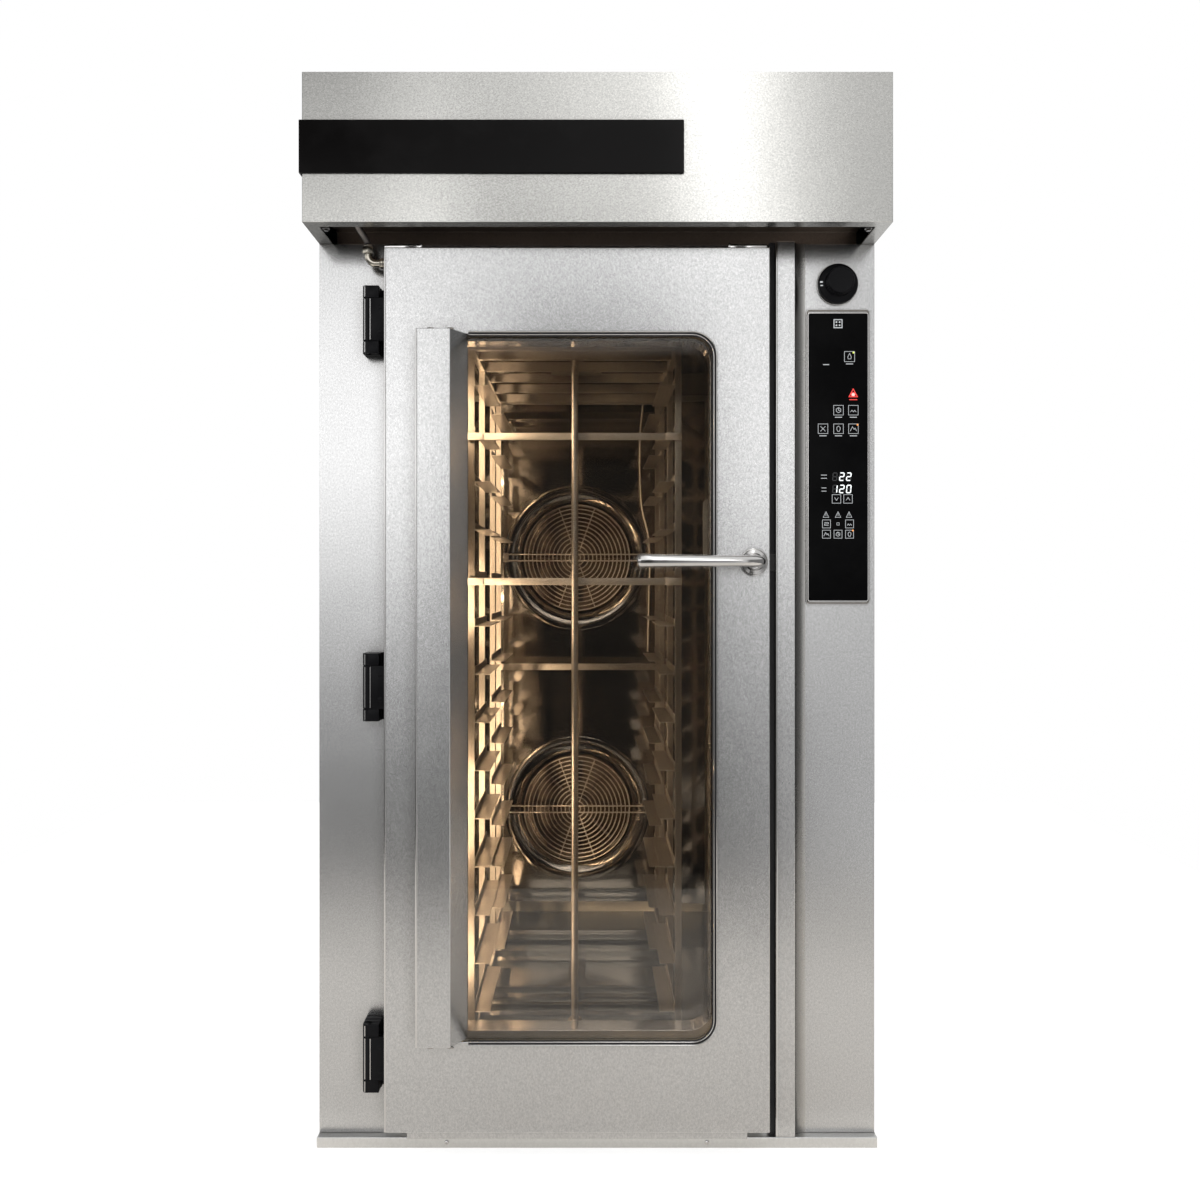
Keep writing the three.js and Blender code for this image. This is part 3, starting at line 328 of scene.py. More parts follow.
def glassMaterial(name, tint):
    # a clear pane with a faint smoky coat; lamps shine straight through it
    material, tree, shader, position = newMaterial(name)
    feedAll(tree, shader, {
        "Base Color": mixColour(tree, noiseNode(tree, position, 3.0), tint, tuple(c * 0.94 for c in tint)),
        "Roughness": rangeNode(tree, noiseNode(tree, position, 5.0, 4.0), 0.4, 0.75, 0.0, 0.012),
        "Transmission Weight": 1.0,
        "IOR": 1.45,
    })
    clear = addNode(tree, "ShaderNodeBsdfTransparent", Color=tint)
    path = addNode(tree, "ShaderNodeLightPath").outputs
    through = largest(tree, path["Is Shadow Ray"], path["Is Diffuse Ray"])
    mixer = addNode(tree, "ShaderNodeMixShader", Fac=through)
    feed(tree, mixer.inputs[1], shader.outputs[0])
    feed(tree, mixer.inputs[2], clear.outputs[0])
    feed(tree, tree.nodes["Material Output"].inputs["Surface"], mixer.outputs[0])
    return material


# printed or lit marks: colour, strength, and colour of the surface where it isn't dark; the printed ink and
# the off digits glow too, which is painted light
glows = {
    "lampGlow": ((1.0, 0.66, 0.30), 14.0, (0.9, 0.8, 0.6)),
    # painted light: the printed white ink glows
    "glowingWhiteInk": ((0.75, 0.78, 0.80), 0.85),
    "digitWhite": ((0.95, 1.0, 1.0), 1.6),
    # painted light: the off segments glow faintly
    "offDigitGlow": ((0.10, 0.11, 0.12), 0.12),
    "ledGreen": ((0.72, 0.85, 0.14), 1.4),
    "ledOrange": ((1.0, 0.35, 0.05), 1.4),
    "ledPale": ((1.0, 0.72, 0.68), 1.2),
    "ledRed": ((1.0, 0.06, 0.05), 1.2),
}


def glowMaterial(name, colour, strength, base=(0.02, 0.02, 0.02)):
    # a little noise keeps the ink from looking flat
    material, tree, shader, position = newMaterial(name)
    ink = noiseNode(tree, position, 400.0, 2.0)
    feedAll(tree, shader, {
        "Base Color": mixColour(tree, ink, base, tuple(c * 0.8 for c in base)),
        "Emission Color": mixColour(tree, ink, tuple(c * 0.82 for c in colour), colour),
        "Emission Strength": strength,
        "Roughness": 0.4,
    })
    return material


finishes = {name: steelMaterial(name, spec) for name, spec in steels.items()}
finishes.update({name: plainMaterial(name, spec) for name, spec in plains.items()})
finishes.update({name: glowMaterial(name, *spec) for name, spec in glows.items()})
finishes["pane"] = glassMaterial("pane", (0.74, 0.71, 0.67))
print("finishes ready:", len(finishes))


def finishPiece(bm, name, body, finish, smooth=32):
    bmesh.ops.remove_doubles(bm, verts=bm.verts, dist=0.000005)
    bmesh.ops.recalc_face_normals(bm, faces=bm.faces)
    mesh = bpy.data.meshes.new(name)
    bm.to_mesh(mesh)
    bm.free()
    mesh.materials.append(finishes[finish])
    mesh.polygons.foreach_set("use_smooth", [True] * len(mesh.polygons))
    mesh.set_sharp_from_angle(angle=math.radians(smooth))
    piece = bpy.data.objects.new(name, mesh)
    bpy.context.collection.objects.link(piece)
    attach(piece, body)
    return piece


def pointing(direction, roll=0.0):
    # turns +Z to the direction
    turn = Vector((0, 0, 1)).rotation_difference(Vector(direction))
    return turn.to_matrix().to_4x4() @ Matrix.Rotation(roll, 4, "Z")


def linkedEdges(verts):
    return list({e for v in verts for e in v.link_edges})


def roundEdges(bm, verts, offset):
    bmesh.ops.bevel(bm, geom=linkedEdges(verts), offset=offset, offset_type="OFFSET", segments=2, profile=0.5,
                    affect="EDGES", material=-1, clamp_overlap=True)


def addBar(bm, low, high, edge=0.0):
    # a block between two corners, with its edges rounded
    low, high = Vector(low), Vector(high)
    made = bmesh.ops.create_cube(bm, size=1.0)["verts"]
    place = Matrix.Translation((low + high) / 2) @ Matrix.Diagonal((*(high - low), 1.0))
    bmesh.ops.transform(bm, matrix=place, verts=made)
    if edge:
        roundEdges(bm, made, edge)


def addRod(bm, start, end, radius, sides=24):
    start, end = Vector(start), Vector(end)
    made = bmesh.ops.create_cone(bm, cap_ends=True, segments=sides, radius1=radius, radius2=radius,
                                 depth=(end - start).length)["verts"]
    place = Matrix.Translation((start + end) / 2) @ pointing(end - start)
    bmesh.ops.transform(bm, matrix=place, verts=made)
    return made


def addUpright(bm, x, y, bottom, top, radius, sides):
    return addRod(bm, (x, y, bottom), (x, y, top), radius, sides)


def addBlob(bm, centre, size, subdivisions):
    # a weld bead: a ball squeezed to three half widths
    made = bmesh.ops.create_icosphere(bm, subdivisions=subdivisions, radius=1.0)["verts"]
    bmesh.ops.transform(bm, matrix=Matrix.Translation(centre) @ Matrix.Diagonal((*size, 1.0)), verts=made)


def spinRound(bm, geometry, steps, before, centre, direction):
    # spins a profile round +Z, then puts all that is new at the centre with +Z along the direction
    bmesh.ops.spin(bm, geom=geometry, cent=(0, 0, 0), axis=(0, 0, 1), angle=2 * math.pi, steps=steps,
                   use_merge=True)
    bmesh.ops.transform(bm, matrix=Matrix.Translation(centre) @ pointing(direction),
                        verts=[v for v in bm.verts if v not in before])


def addTurned(bm, profile, centre, direction, sides):
    # profile: (radius, height along the direction) points, turned a full circle
    before = set(bm.verts)
    points = [bm.verts.new((radius, 0, height)) for radius, height in profile]
    edges = [bm.edges.new(pair) for pair in zip(points, points[1:])]
    spinRound(bm, points + edges, sides, before, centre, direction)


def addHoop(bm, centre, direction, radius, wire, steps, sides):
    # a round wire ring
    before = set(bm.verts)
    section = bmesh.ops.create_circle(bm, cap_ends=False, segments=sides, radius=wire)["verts"]
    upright = Matrix.Translation((radius, 0, 0)) @ Matrix.Rotation(math.pi / 2, 4, "X")
    bmesh.ops.transform(bm, matrix=upright, verts=section)
    spinRound(bm, section + linkedEdges(section), steps, before, centre, direction)


def framesAlong(points, radii=None):
    # a matrix at each point whose Z follows the path, turning as little as it can
    points = [Vector(p) for p in points]
    turn, last = Matrix.Identity(3), Vector((0, 0, 1))
    frames = []
    for i, point in enumerate(points):
        ahead = (points[min(i + 1, len(points) - 1)] - points[max(i - 1, 0)]).normalized()
        turn = last.rotation_difference(ahead).to_matrix() @ turn
        last = ahead
        size = radii[i] if radii else 1.0
        frames.append(Matrix.Translation(point) @ turn.to_4x4() @ Matrix.Diagonal((size, size, 1.0, 1.0)))
    return frames


def addSweep(bm, section, frames, cap=True):
    # section: loop of (u, v) points, carried from frame to frame
    ring = [bm.verts.new((u, v, 0)) for u, v in section]
    bmesh.ops.transform(bm, matrix=frames[0], verts=ring)
    edges = [bm.edges.new((ring[i], ring[(i + 1) % len(ring)])) for i in range(len(ring))]
    if cap:
        bm.faces.new(ring)
    for here, there in zip(frames, frames[1:]):
        made = bmesh.ops.extrude_edge_only(bm, edges=edges)["geom"]
        ring = [g for g in made if isinstance(g, bmesh.types.BMVert)]
        fresh = set(ring)
        edges = [g for g in made if isinstance(g, bmesh.types.BMEdge) and fresh.issuperset(g.verts)]
        bmesh.ops.transform(bm, matrix=there @ here.inverted(), verts=ring)
    if cap:
        bmesh.ops.edgeloop_fill(bm, edges=edges)


def circle(sides, radius=1.0):
    turns = [2 * math.pi * i / sides for i in range(sides)]
    return [(radius * math.cos(turn), radius * math.sin(turn)) for turn in turns]


def addTube(bm, points, sides, radius=1.0, radii=None):
    # a round tube along the points, of one radius or of one for each point
    addSweep(bm, circle(sides, radius), framesAlong(points, radii))


def arcPoints(centre, radius, start, end, steps, sideways=(1, 0, 0), upwards=(0, 0, 1)):
    sideways, upwards = Vector(sideways), Vector(upwards)
    turns = [start + (end - start) * i / steps for i in range(steps + 1)]
    return [Vector(centre) + sideways * (radius * math.cos(turn)) + upwards * (radius * math.sin(turn))
            for turn in turns]


def roundedPath(low, high, y, radius, steps=6):
    # a rectangle in the front plane with round corners, from its top right corner anticlockwise
    path = []
    for x, z, quarter in ((high.x, high.z, 0), (low.x, high.z, 1), (low.x, low.z, 2), (high.x, low.z, 3)):
        centre = (x - radius * (1, -1, -1, 1)[quarter], y, z - radius * (1, 1, -1, -1)[quarter])
        start = quarter * math.pi / 2
        path += arcPoints(centre, radius, start, start + math.pi / 2, steps)
    return path


def placedFrame(point, across, outward, ahead):
    # a matrix at the point with its X, Y and Z along the three directions
    return Matrix.Translation(point) @ Matrix((across, outward, ahead)).transposed().to_4x4()


def addFrameSweep(bm, section, path, outward):
    # carries a section round a closed path in the front plane; its v points outward
    count = len(path)
    outward = Vector(outward)
    frames = []
    for i in range(count + 1):
        ahead = (path[(i + 1) % count] - path[(i - 1) % count]).normalized()
        frames.append(placedFrame(path[i % count], outward.cross(ahead), outward, ahead))
    addSweep(bm, section, frames, cap=False)


def addScrew(bm, centre, direction, radius, kind="pan"):
    # a pan head or a nearly flush one, both with a cross slot, or a hexagon head with a washer
    place = Matrix.Translation(centre) @ pointing(direction, 0.4)
    if kind == "hex":
        head = bmesh.ops.create_cone(bm, cap_ends=True, segments=6, radius1=radius, radius2=radius * 0.94,
                                     depth=radius * 0.8)["verts"]
        bmesh.ops.transform(bm, matrix=place @ Matrix.Translation((0, 0, radius * 0.6)), verts=head)
        washer = [(0, 0.0), (radius * 1.5, 0.0), (radius * 1.5, radius * 0.2), (0, radius * 0.2)]
        addTurned(bm, washer, centre, direction, 24)
        return
    tall = radius * (0.62 if kind == "pan" else 0.16)
    head = [(0, tall), (radius * 0.55, tall * 0.94), (radius * 0.9, tall * 0.6), (radius, 0.0),
            (radius, -0.4 * mm)]
    addTurned(bm, head, centre, direction, 20)
    for turn in (0, math.pi / 2):
        slotBar = bmesh.ops.create_cube(bm, size=1.0)["verts"]
        shape = Matrix.Diagonal((radius * 1.1, radius * 0.22, tall * 0.16, 1.0))
        lift = Matrix.Translation((0, 0, tall * 0.97))
        bmesh.ops.transform(bm, matrix=place @ lift @ Matrix.Rotation(turn, 4, "Z") @ shape, verts=slotBar)


# parts that keep their CAD shape and get rounded edges and a finish
nodeFinishes = {
    "hoodSteel": ["hood_shell"],
    "doorSteel": ["door_skin", "lamp_cover"],
    "bodySteel": ["left_side_panel", "right_side_panel", "hinge_stile", "control_fascia", "door_surround"],
    "postSteel": ["lock_post"],
    "plinthSteel": ["base_frame"],
    "brightSteel": ["door_plug"],
    "chamberSteel": ["chamber_liner", "fan_baffle"],
    "floorSteel": ["chamber_floor", "rack_base_frame"],
    "rackSteel": ["rack_top_frame", "front_left_ladder", "front_right_ladder", "rear_left_ladder",
                  "rear_right_ladder", "rack_spindle"],
    "greySheet": ["back_panel", "control_box", "top_deck", "drive_pulley"],
    "nearBlackSteel": ["upper_fan_impeller", "lower_fan_impeller"],
    "filterSteel": ["hood_filter"],
    "mineralWool": ["insulation_jacket", "rear_wall", "door_core"],
    "glossBlack": ["hood_band"],
    "screenBlack": ["control_screen"],
    "latchSteel": ["release_bar"],
    "pane": ["outer_glass", "inner_glass"],
    "sealRubber": ["drive_belt"],
    "motorPaint": ["upper_fan_motor", "lower_fan_motor", "rack_gearmotor"],
    "heaterSteel": ["heating_element"],
}
softEdge = {"hood_shell": 1.2 * mm, "door_skin": 1.5 * mm, "lamp_cover": 1.2 * mm, "lock_post": 1.2 * mm,
            "base_frame": 1.5 * mm, "control_screen": 0.5 * mm, "hood_band": 0.8 * mm}


def dressNode(name, finish):
    node = nodes[name]
    node.data.materials.clear()
    node.data.materials.append(finishes[finish])
    if finish == "pane":
        return
    weld = node.modifiers.new("weld", "WELD")
    weld.merge_threshold = 0.02 * mm
    edge = node.modifiers.new("edge", "BEVEL")
    edge.width = softEdge.get(name, 0.5 * mm)
    edge.segments = 2
    edge.limit_method = "ANGLE"
    edge.angle_limit = math.radians(40)
    edge.miter_outer = "MITER_ARC"


for finish, names in nodeFinishes.items():
    for name in names:
        dressNode(name, finish)
print("sheet metal dressed")


# (from, to, height) in mm across the bead, from its outer edge inwards: the black seal shows in the
# groove between the two bright rolls and as a lip inside them
bead = {"width": 9 * mm, "radius": 46 * mm, "cornerSteps": 14, "sides": 8, "seal": (-3.2, 4.5, 0.9),
        "rolls": ((-4.9, -2.2, 3.8), (0.1, 2.5, 2.4))}


def windowBead():
    low, high = places["window_trim"]
    half = bead["width"] / 2
    radius = bead["radius"] - half
    right, top, bottom = high.x - half, high.z - half, low.z + half
    path = [Vector((low.x, high.y, top))]
    for x, z, start in ((right - radius, top - radius, math.pi / 2), (right - radius, bottom + radius, 0.0)):
        path += arcPoints((x, high.y, z), radius, start, start - math.pi / 2, bead["cornerSteps"])
    path.append(Vector((low.x, high.y, bottom)))
    frames = []  # u runs across the bead in the door's plane and v stands out of the door
    for i, point in enumerate(path):
        ahead = (path[min(i + 1, len(path) - 1)] - path[max(i - 1, 0)]).normalized()
        frames.append(placedFrame(point, ahead.cross(Vector(toFront)), Vector(toFront), ahead))
    bm = bmesh.new()
    turns = [math.pi * i / bead["sides"] for i in range(bead["sides"] + 1)]
    for outer, inner, tall in bead["rolls"]:
        middle, reach = (outer + inner) / 2, (inner - outer) / 2
        dome = [((middle + reach * math.cos(turn)) * mm, tall * mm * math.sin(turn)) for turn in turns]
        addSweep(bm, dome, frames)
    piece = finishPiece(bm, "windowBead", "door", "brightSteel", 50)
    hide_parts("window_trim")
    outer, inner, tall = (size * mm for size in bead["seal"])
    bm = bmesh.new()
    addSweep(bm, [(inner, 0), (inner, tall), (outer, tall), (outer, 0)], frames)
    finishPiece(bm, "windowSeal", "door", "sealRubber", 30)


lever = {"sides": 32, "radius": 9.5 * mm, "tipRadius": 12 * mm, "bend": 40 * mm, "bendSteps": 14,
         "straightSteps": 8, "tipSteps": 6}


def doorLever():
    # out of the door, round the bend, then straight along the door and thicker towards its rounded tip
    low, high = places["door_handle"]
    rosetteLow, rosetteHigh = places["handle_rosette"]
    centre = (rosetteLow + rosetteHigh) / 2
    x, z = centre.x, centre.z
    bend, radius, tip = lever["bend"], lever["radius"], lever["tipRadius"]
    y = low.y + tip
    path = [Vector((x, high.y, z)), Vector((x, rosetteHigh.y, z))]
    path += arcPoints((x - bend, y + bend, z), bend, 0, math.pi / 2, lever["bendSteps"], upwards=toFront)
    radii = [radius] * len(path)
    bendEnd = path[-1].x
    reach = bendEnd - low.x - tip * 0.5
    for i in range(1, lever["straightSteps"] + 1):
        path.append(Vector((bendEnd - reach * i / lever["straightSteps"], y, z)))
        radii.append(radius + (tip - radius) * i / lever["straightSteps"])
    end = path[-1].x
    for i in range(1, lever["tipSteps"] + 1):
        turn = math.pi / 2 * i / lever["tipSteps"]
        path.append(Vector((end - tip * 0.5 * math.sin(turn), y, z)))
        radii.append(max(tip * math.cos(turn) ** 0.6, 0.8 * mm))
    bm = bmesh.new()
    addTube(bm, path, lever["sides"], radii=radii)
    camLow = (x - 7 * mm, high.y - 12 * mm, z - 20 * mm)
    addBar(bm, camLow, (x + 7 * mm, high.y - 2 * mm, z + 20 * mm), 2 * mm)
    piece = finishPiece(bm, "leverTube", "handle", "brightSteel", 45)
    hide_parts("door_handle")


# two turned grooves; each point is (mm out from the lever's hole or in from the rim, share of the thickness)
rosette = {"inner": [(0, 0.50), (1.2, 0.50), (1.6, 0.95), (3.8, 1.0), (4.4, 0.45), (6.2, 0.42), (6.8, 0.88)],
           "outer": [(3.4, 0.72), (2.9, 0.22), (1.5, 0.20), (1.1, 0.42), (0.3, 0.40), (0, 0.30), (0, 0.0)]}


def leverRosette():
    low, high = places["handle_rosette"]
    centre = Vector(((low.x + high.x) / 2, high.y, (low.z + high.z) / 2))
    outer = (high.x - low.x) / 2
    inner = lever["radius"] + 0.6 * mm
    deep = high.y - low.y
    profile = [(inner + step * mm, deep * share) for step, share in rosette["inner"]]
    profile += [(outer - step * mm, deep * share) for step, share in rosette["outer"]]
    profile += [(inner, 0.0), profile[0]]
    bm = bmesh.new()
    addTurned(bm, profile, centre, toFront, 56)
    piece = finishPiece(bm, "leverRosette", "door", "brightSteel", 40)
    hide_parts("handle_rosette")


# liner and the inset after it size thin bright strips that are painted highlights on the knuckles' edges
hinge = {"radius": 8.5 * mm, "bore": 4.3 * mm, "pin": 4 * mm, "gap": 0.5 * mm, "edge": 0.8 * mm,
         "filler": 6 * mm, "liner": 0.9 * mm, "glintInset": 2 * mm}


def knuckle(bottom, top, bore):
    radius, edge = hinge["radius"], hinge["edge"]
    return [(bore, bottom), (radius - edge, bottom), (radius, bottom + edge), (radius, top - edge),
            (radius - edge, top), (bore, top)]


def buttHinge(place):
    # two fixed knuckles, the door's knuckle between them, thin bright strips that are painted highlights on
    # the knuckles' edges, and cover caps
    radius, gap, edge, inset = hinge["radius"], hinge["gap"], hinge["edge"], hinge["glintInset"]
    low, high = places[f"{place}_hinge_frame_leaf"]
    doorLow, doorHigh = places[f"{place}_hinge_door_leaf"]
    x, y = low.x + radius, low.y + radius
    axis = (x, y, 0)
    bottom, top = doorLow.z, doorHigh.z
    bm = bmesh.new()
    addBar(bm, (low.x, y + 12 * mm, low.z), (high.x, high.y, high.z), edge)
    fillerHigh = (high.x + hinge["filler"], high.y - 0.5 * mm, high.z)
    addBar(bm, (high.x - 4 * mm, high.y - 4.5 * mm, low.z), fillerHigh)
    for start, end in ((low.z, bottom - gap), (top + gap, high.z)):
        addBar(bm, (low.x + 0.3 * mm, y, start), (high.x - 1 * mm, y + 15 * mm, end), edge)
        addTurned(bm, knuckle(start, end, 0), axis, toTop, 28)
        addBar(bm, (x + 2 * mm, low.y + 0.6 * mm, start), (high.x - 1 * mm, y + 4 * mm, end), edge)
    addUpright(bm, x, y, low.z + 2 * mm, high.z - 2 * mm, hinge["pin"], 16)
    piece = finishPiece(bm, f"{place}HingeFrameLeaf", "cabinet", "blackPlastic", 40)
    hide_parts(f"{place}_hinge_frame_leaf")
    bm = bmesh.new()
    addTurned(bm, knuckle(bottom, top, hinge["bore"]) + [(hinge["bore"], bottom)], axis, toTop, 28)
    addBar(bm, (x + 5 * mm, doorLow.y, bottom), (doorHigh.x, doorHigh.y, top), edge)
    cap = [(0, 0.7 * mm), (3.6 * mm, 0.6 * mm), (4.4 * mm, 0.2 * mm), (4.4 * mm, -0.4 * mm)]
    for share in (0.22, 0.78):
        spot = (doorHigh.x - 9 * mm, doorLow.y + 0.2 * mm, bottom + (top - bottom) * share)
        addTurned(bm, cap, spot, toFront, 20)
    piece = finishPiece(bm, f"{place}HingeDoorLeaf", "door", "blackPlastic", 40)
    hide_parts(f"{place}_hinge_door_leaf")
    # painted highlight: thin bright strips along the knuckles' edges
    glintX, glintY = x - 3.4 * mm, y - 7.4 * mm
    bm = bmesh.new()
    for stripX, stripY in ((glintX, glintY), (x + 6.6 * mm, doorLow.y)):
        addUpright(bm, stripX, stripY, bottom + inset, top - inset, hinge["liner"], 10)
    finishPiece(bm, f"{place}HingeGlintStrips", "door", "brightSteel", 40)
    bm = bmesh.new()
    for start, end in ((low.z + inset, bottom - inset), (top + inset, high.z - inset)):
        addUpright(bm, glintX, glintY, start, end, hinge["liner"], 10)
    finishPiece(bm, f"{place}HingeFrameGlints", "cabinet", "brightSteel", 40)


# section holds one side's (half width in mm, share of half the thickness) points, from the foot to the lip
seal = {"inset": 7.5 * mm, "corner": 10 * mm, "section": [(6.5, -1), (6.5, 0), (3.5, 0.4), (2.5, 1)]}


def sealRing():
    # a lip seal: a flat foot and a round lip that the surround presses
    low, high = places["door_gasket"]
    inset = Vector((seal["inset"], 0, seal["inset"]))
    thick = (high.y - low.y) / 2
    side = [(half * mm, thick * share) for half, share in seal["section"]]
    section = side + [(-across, out) for across, out in reversed(side)]
    bm = bmesh.new()
    path = roundedPath(low + inset, high - inset, (low.y + high.y) / 2, seal["corner"])
    addFrameSweep(bm, section, path, toRear)
    piece = finishPiece(bm, "doorSeal", "door", "sealRubber", 50)
    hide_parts("door_gasket")


# holder and capsule are profiles: (radius, distance from the rail) points in mm
lampRowSpec = {"count": 5, "first": 360 * mm, "pitch": 240 * mm, "rail": 8 * mm,
               "holder": [(0, 0), (9, 0), (9, 12), (7, 14), (0, 14)],
               "capsule": [(0, 13), (5.5, 14), (6.5, 18), (6.5, 28), (4, 32), (0, 33)]}


def lampRow():
    # halogen capsules on ceramic holders along a rail inside the cover
    low, high = places["lamp_rail"]
    base = low.x + lampRowSpec["rail"]
    spots = [(base, (low.y + high.y) / 2, lampRowSpec["first"] + i * lampRowSpec["pitch"])
             for i in range(lampRowSpec["count"])]
    holder, capsule = ([(radius * mm, away * mm) for radius, away in lampRowSpec[part]]
                       for part in ("holder", "capsule"))
    bm = bmesh.new()
    addBar(bm, low, (base, high.y, high.z), 0.8 * mm)
    for spot in spots:
        addTurned(bm, holder, spot, (1, 0, 0), 24)
    rail = finishPiece(bm, "lampRail", "door", "greySheet")
    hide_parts("lamp_rail")
    bm = bmesh.new()
    for spot in spots:
        addTurned(bm, capsule, spot, (1, 0, 0), 20)
    finishPiece(bm, "lampCapsules", "door", "lampGlow")


conduit = {"radius": 6.6 * mm, "ribPitch": 2.6 * mm, "ribDepth": 0.35 * mm, "sides": 20}


def catmull(points, stepsEach):
    # a smooth curve through the points
    points = [Vector(p) for p in points]
    padded = [points[0] * 2 - points[1]] + points + [points[-1] * 2 - points[-2]]
    out = []
    for i in range(1, len(padded) - 2):
        a, b, c, d = padded[i - 1:i + 3]
        for k in range(stepsEach):
            t = k / stepsEach
            out.append(0.5 * ((2 * b) + (c - a) * t + (2 * a - 5 * b + 4 * c - d) * t * t
                              + (3 * b - a - 3 * c + d) * t ** 3))
    out.append(points[-1])
    return out


def lampHose():
    # braided conduit from the hood down to the elbow on the hinge axis
    low, high = places["lamp_conduit"]
    hingeX, hingeY = high.x - 5 * mm, high.y - 5 * mm
    top = Vector((low.x + 6 * mm, low.y + 6 * mm, high.z))
    points = [top, top + Vector((1 * mm, 1 * mm, -10 * mm)),
              (hingeX - 10 * mm, hingeY - 19 * mm, low.z + 21 * mm),
              (hingeX - 3 * mm, hingeY - 6 * mm, low.z + 11 * mm),
              (hingeX, hingeY, low.z + 4 * mm), (hingeX, hingeY, low.z)]
    path = catmull(points, 18)
    length = 0.0
    radii = []
    for i, point in enumerate(path):
        length += (point - path[i - 1]).length if i else 0.0
        rib = math.cos(2 * math.pi * length / conduit["ribPitch"])
        radii.append(conduit["radius"] - conduit["ribDepth"] * (1 + rib))
    bm = bmesh.new()
    addTube(bm, path, conduit["sides"], radii=radii)
    piece = finishPiece(bm, "lampHose", "cabinet", "hoseBraid", 60)
    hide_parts("lamp_conduit")


# nuts are (bottom, top, radius) in mm, rings are (place from the door's edge, radius)
elbow = {"pipe": 7.0 * mm, "bend": 15 * mm, "level": 1638 * mm,
         "nuts": [(1655, 1668, 11.0), (1668.5, 1671.5, 9.4)], "rings": [(-0.5, 10.6), (-4.8, 10.0)],
         "ringWidth": 2.6 * mm, "lockNut": (-11, -7.6, 9.5)}


def addHexNut(bm, start, end, radius):
    roundEdges(bm, addRod(bm, start, end, radius, 6), 0.9 * mm)


def hoseElbow():
    # swivel nut, swept tube and the two-ring gland at the door's edge
    low, high = places["conduit_elbow"]
    x, y = low.x + 10 * mm, (low.y + high.y) / 2
    bend, level = elbow["bend"], elbow["level"]
    path = [Vector((x, y, high.z))]
    path += arcPoints((x + bend, y, level + bend), bend, math.pi, 1.5 * math.pi, 12)
    path.append(Vector((high.x, y, level)))
    bm = bmesh.new()
    addTube(bm, path, 28, elbow["pipe"])
    for bottom, top, radius in elbow["nuts"]:
        addHexNut(bm, (x, y, bottom * mm), (x, y, top * mm), radius * mm)
    for offset, radius in elbow["rings"]:
        end = high.x + offset * mm
        addRod(bm, (end - elbow["ringWidth"], y, level), (end, y, level), radius * mm, 28)
    start, end, radius = (size * mm for size in elbow["lockNut"])
    addHexNut(bm, (high.x + start, y, level), (high.x + end, y, level), radius)
    piece = finishPiece(bm, "hoseElbow", "door", "nickel", 40)
    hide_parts("conduit_elbow")


# sweep and strips are places along X in mm; profile is the black profile's left, right, front and rear in mm
# from the post's left edge and the fascia's face
trim = {"sweep": (-351, 277), "strips": ((-389, -322), (242, 310.5)), "strip": 7.5 * mm, "bead": 2.4 * mm,
        "post": 36 * mm, "profile": (-11, -0.2, -9, 3.8), "hollow": 13 * mm, "hollowSteps": 12}


def doorTrim():
    # the sweep under the door, the two clip strips over it and the folded bright edges of door and lamp cover
    doorLow, doorHigh = places["door_skin"]
    coverLow, coverHigh = places["lamp_cover"]
    plinthTop = places["base_frame"][1].z
    front, top = doorLow.y, doorHigh.z
    left, right = (x * mm for x in trim["sweep"])
    bm = bmesh.new()
    for near, far, bottom, end in ((18, 20, plinthTop + 4 * mm, doorLow.z + 6 * mm),
                                   (20, 34, doorLow.z - 3 * mm, doorLow.z - 0.5 * mm)):
        addBar(bm, (left, front + near * mm, bottom), (right, front + far * mm, end), 0.5 * mm)
    finishPiece(bm, "doorSweep", "door", "doorSteel")
    bm = bmesh.new()
    stripTop = top + trim["strip"]
    for start, end in trim["strips"]:
        inner = min(start, end, key=abs) * mm
        addBar(bm, (start * mm, front + 3 * mm, top + 0.3 * mm),
               (end * mm, front + 30 * mm, stripTop), 0.6 * mm)
        addBar(bm, (inner - 1.8 * mm, front + 1.5 * mm, top + 0.2 * mm),
               (inner + 1.8 * mm, front + 31 * mm, stripTop + 1.5 * mm), 0.5 * mm)
    finishPiece(bm, "doorClipStrips", "door", "brightSteel")
    bead = trim["bead"]
    bm = bmesh.new()
    for low, high in ((doorLow, doorHigh), (coverLow, coverHigh)):
        addUpright(bm, low.x + bead * 0.75, low.y + bead * 0.7, low.z + 1 * mm, high.z - 1 * mm, bead, 20)
    finishPiece(bm, "foldedEdges", "door", "brightSteel")
    # painted shade: the weld bumps get the darker steel
    bm = bmesh.new()
    for share in (0.30, 0.70):
        x = coverLow.x + (coverHigh.x - coverLow.x) * share
        for z in (coverLow.z - 0.4 * mm, coverHigh.z + 0.4 * mm):
            addBlob(bm, (x, coverLow.y + 4 * mm, z), (7 * mm, 3 * mm, 2.2 * mm), 2)
    finishPiece(bm, "coverWelds", "door", "shadeDarkSteel")


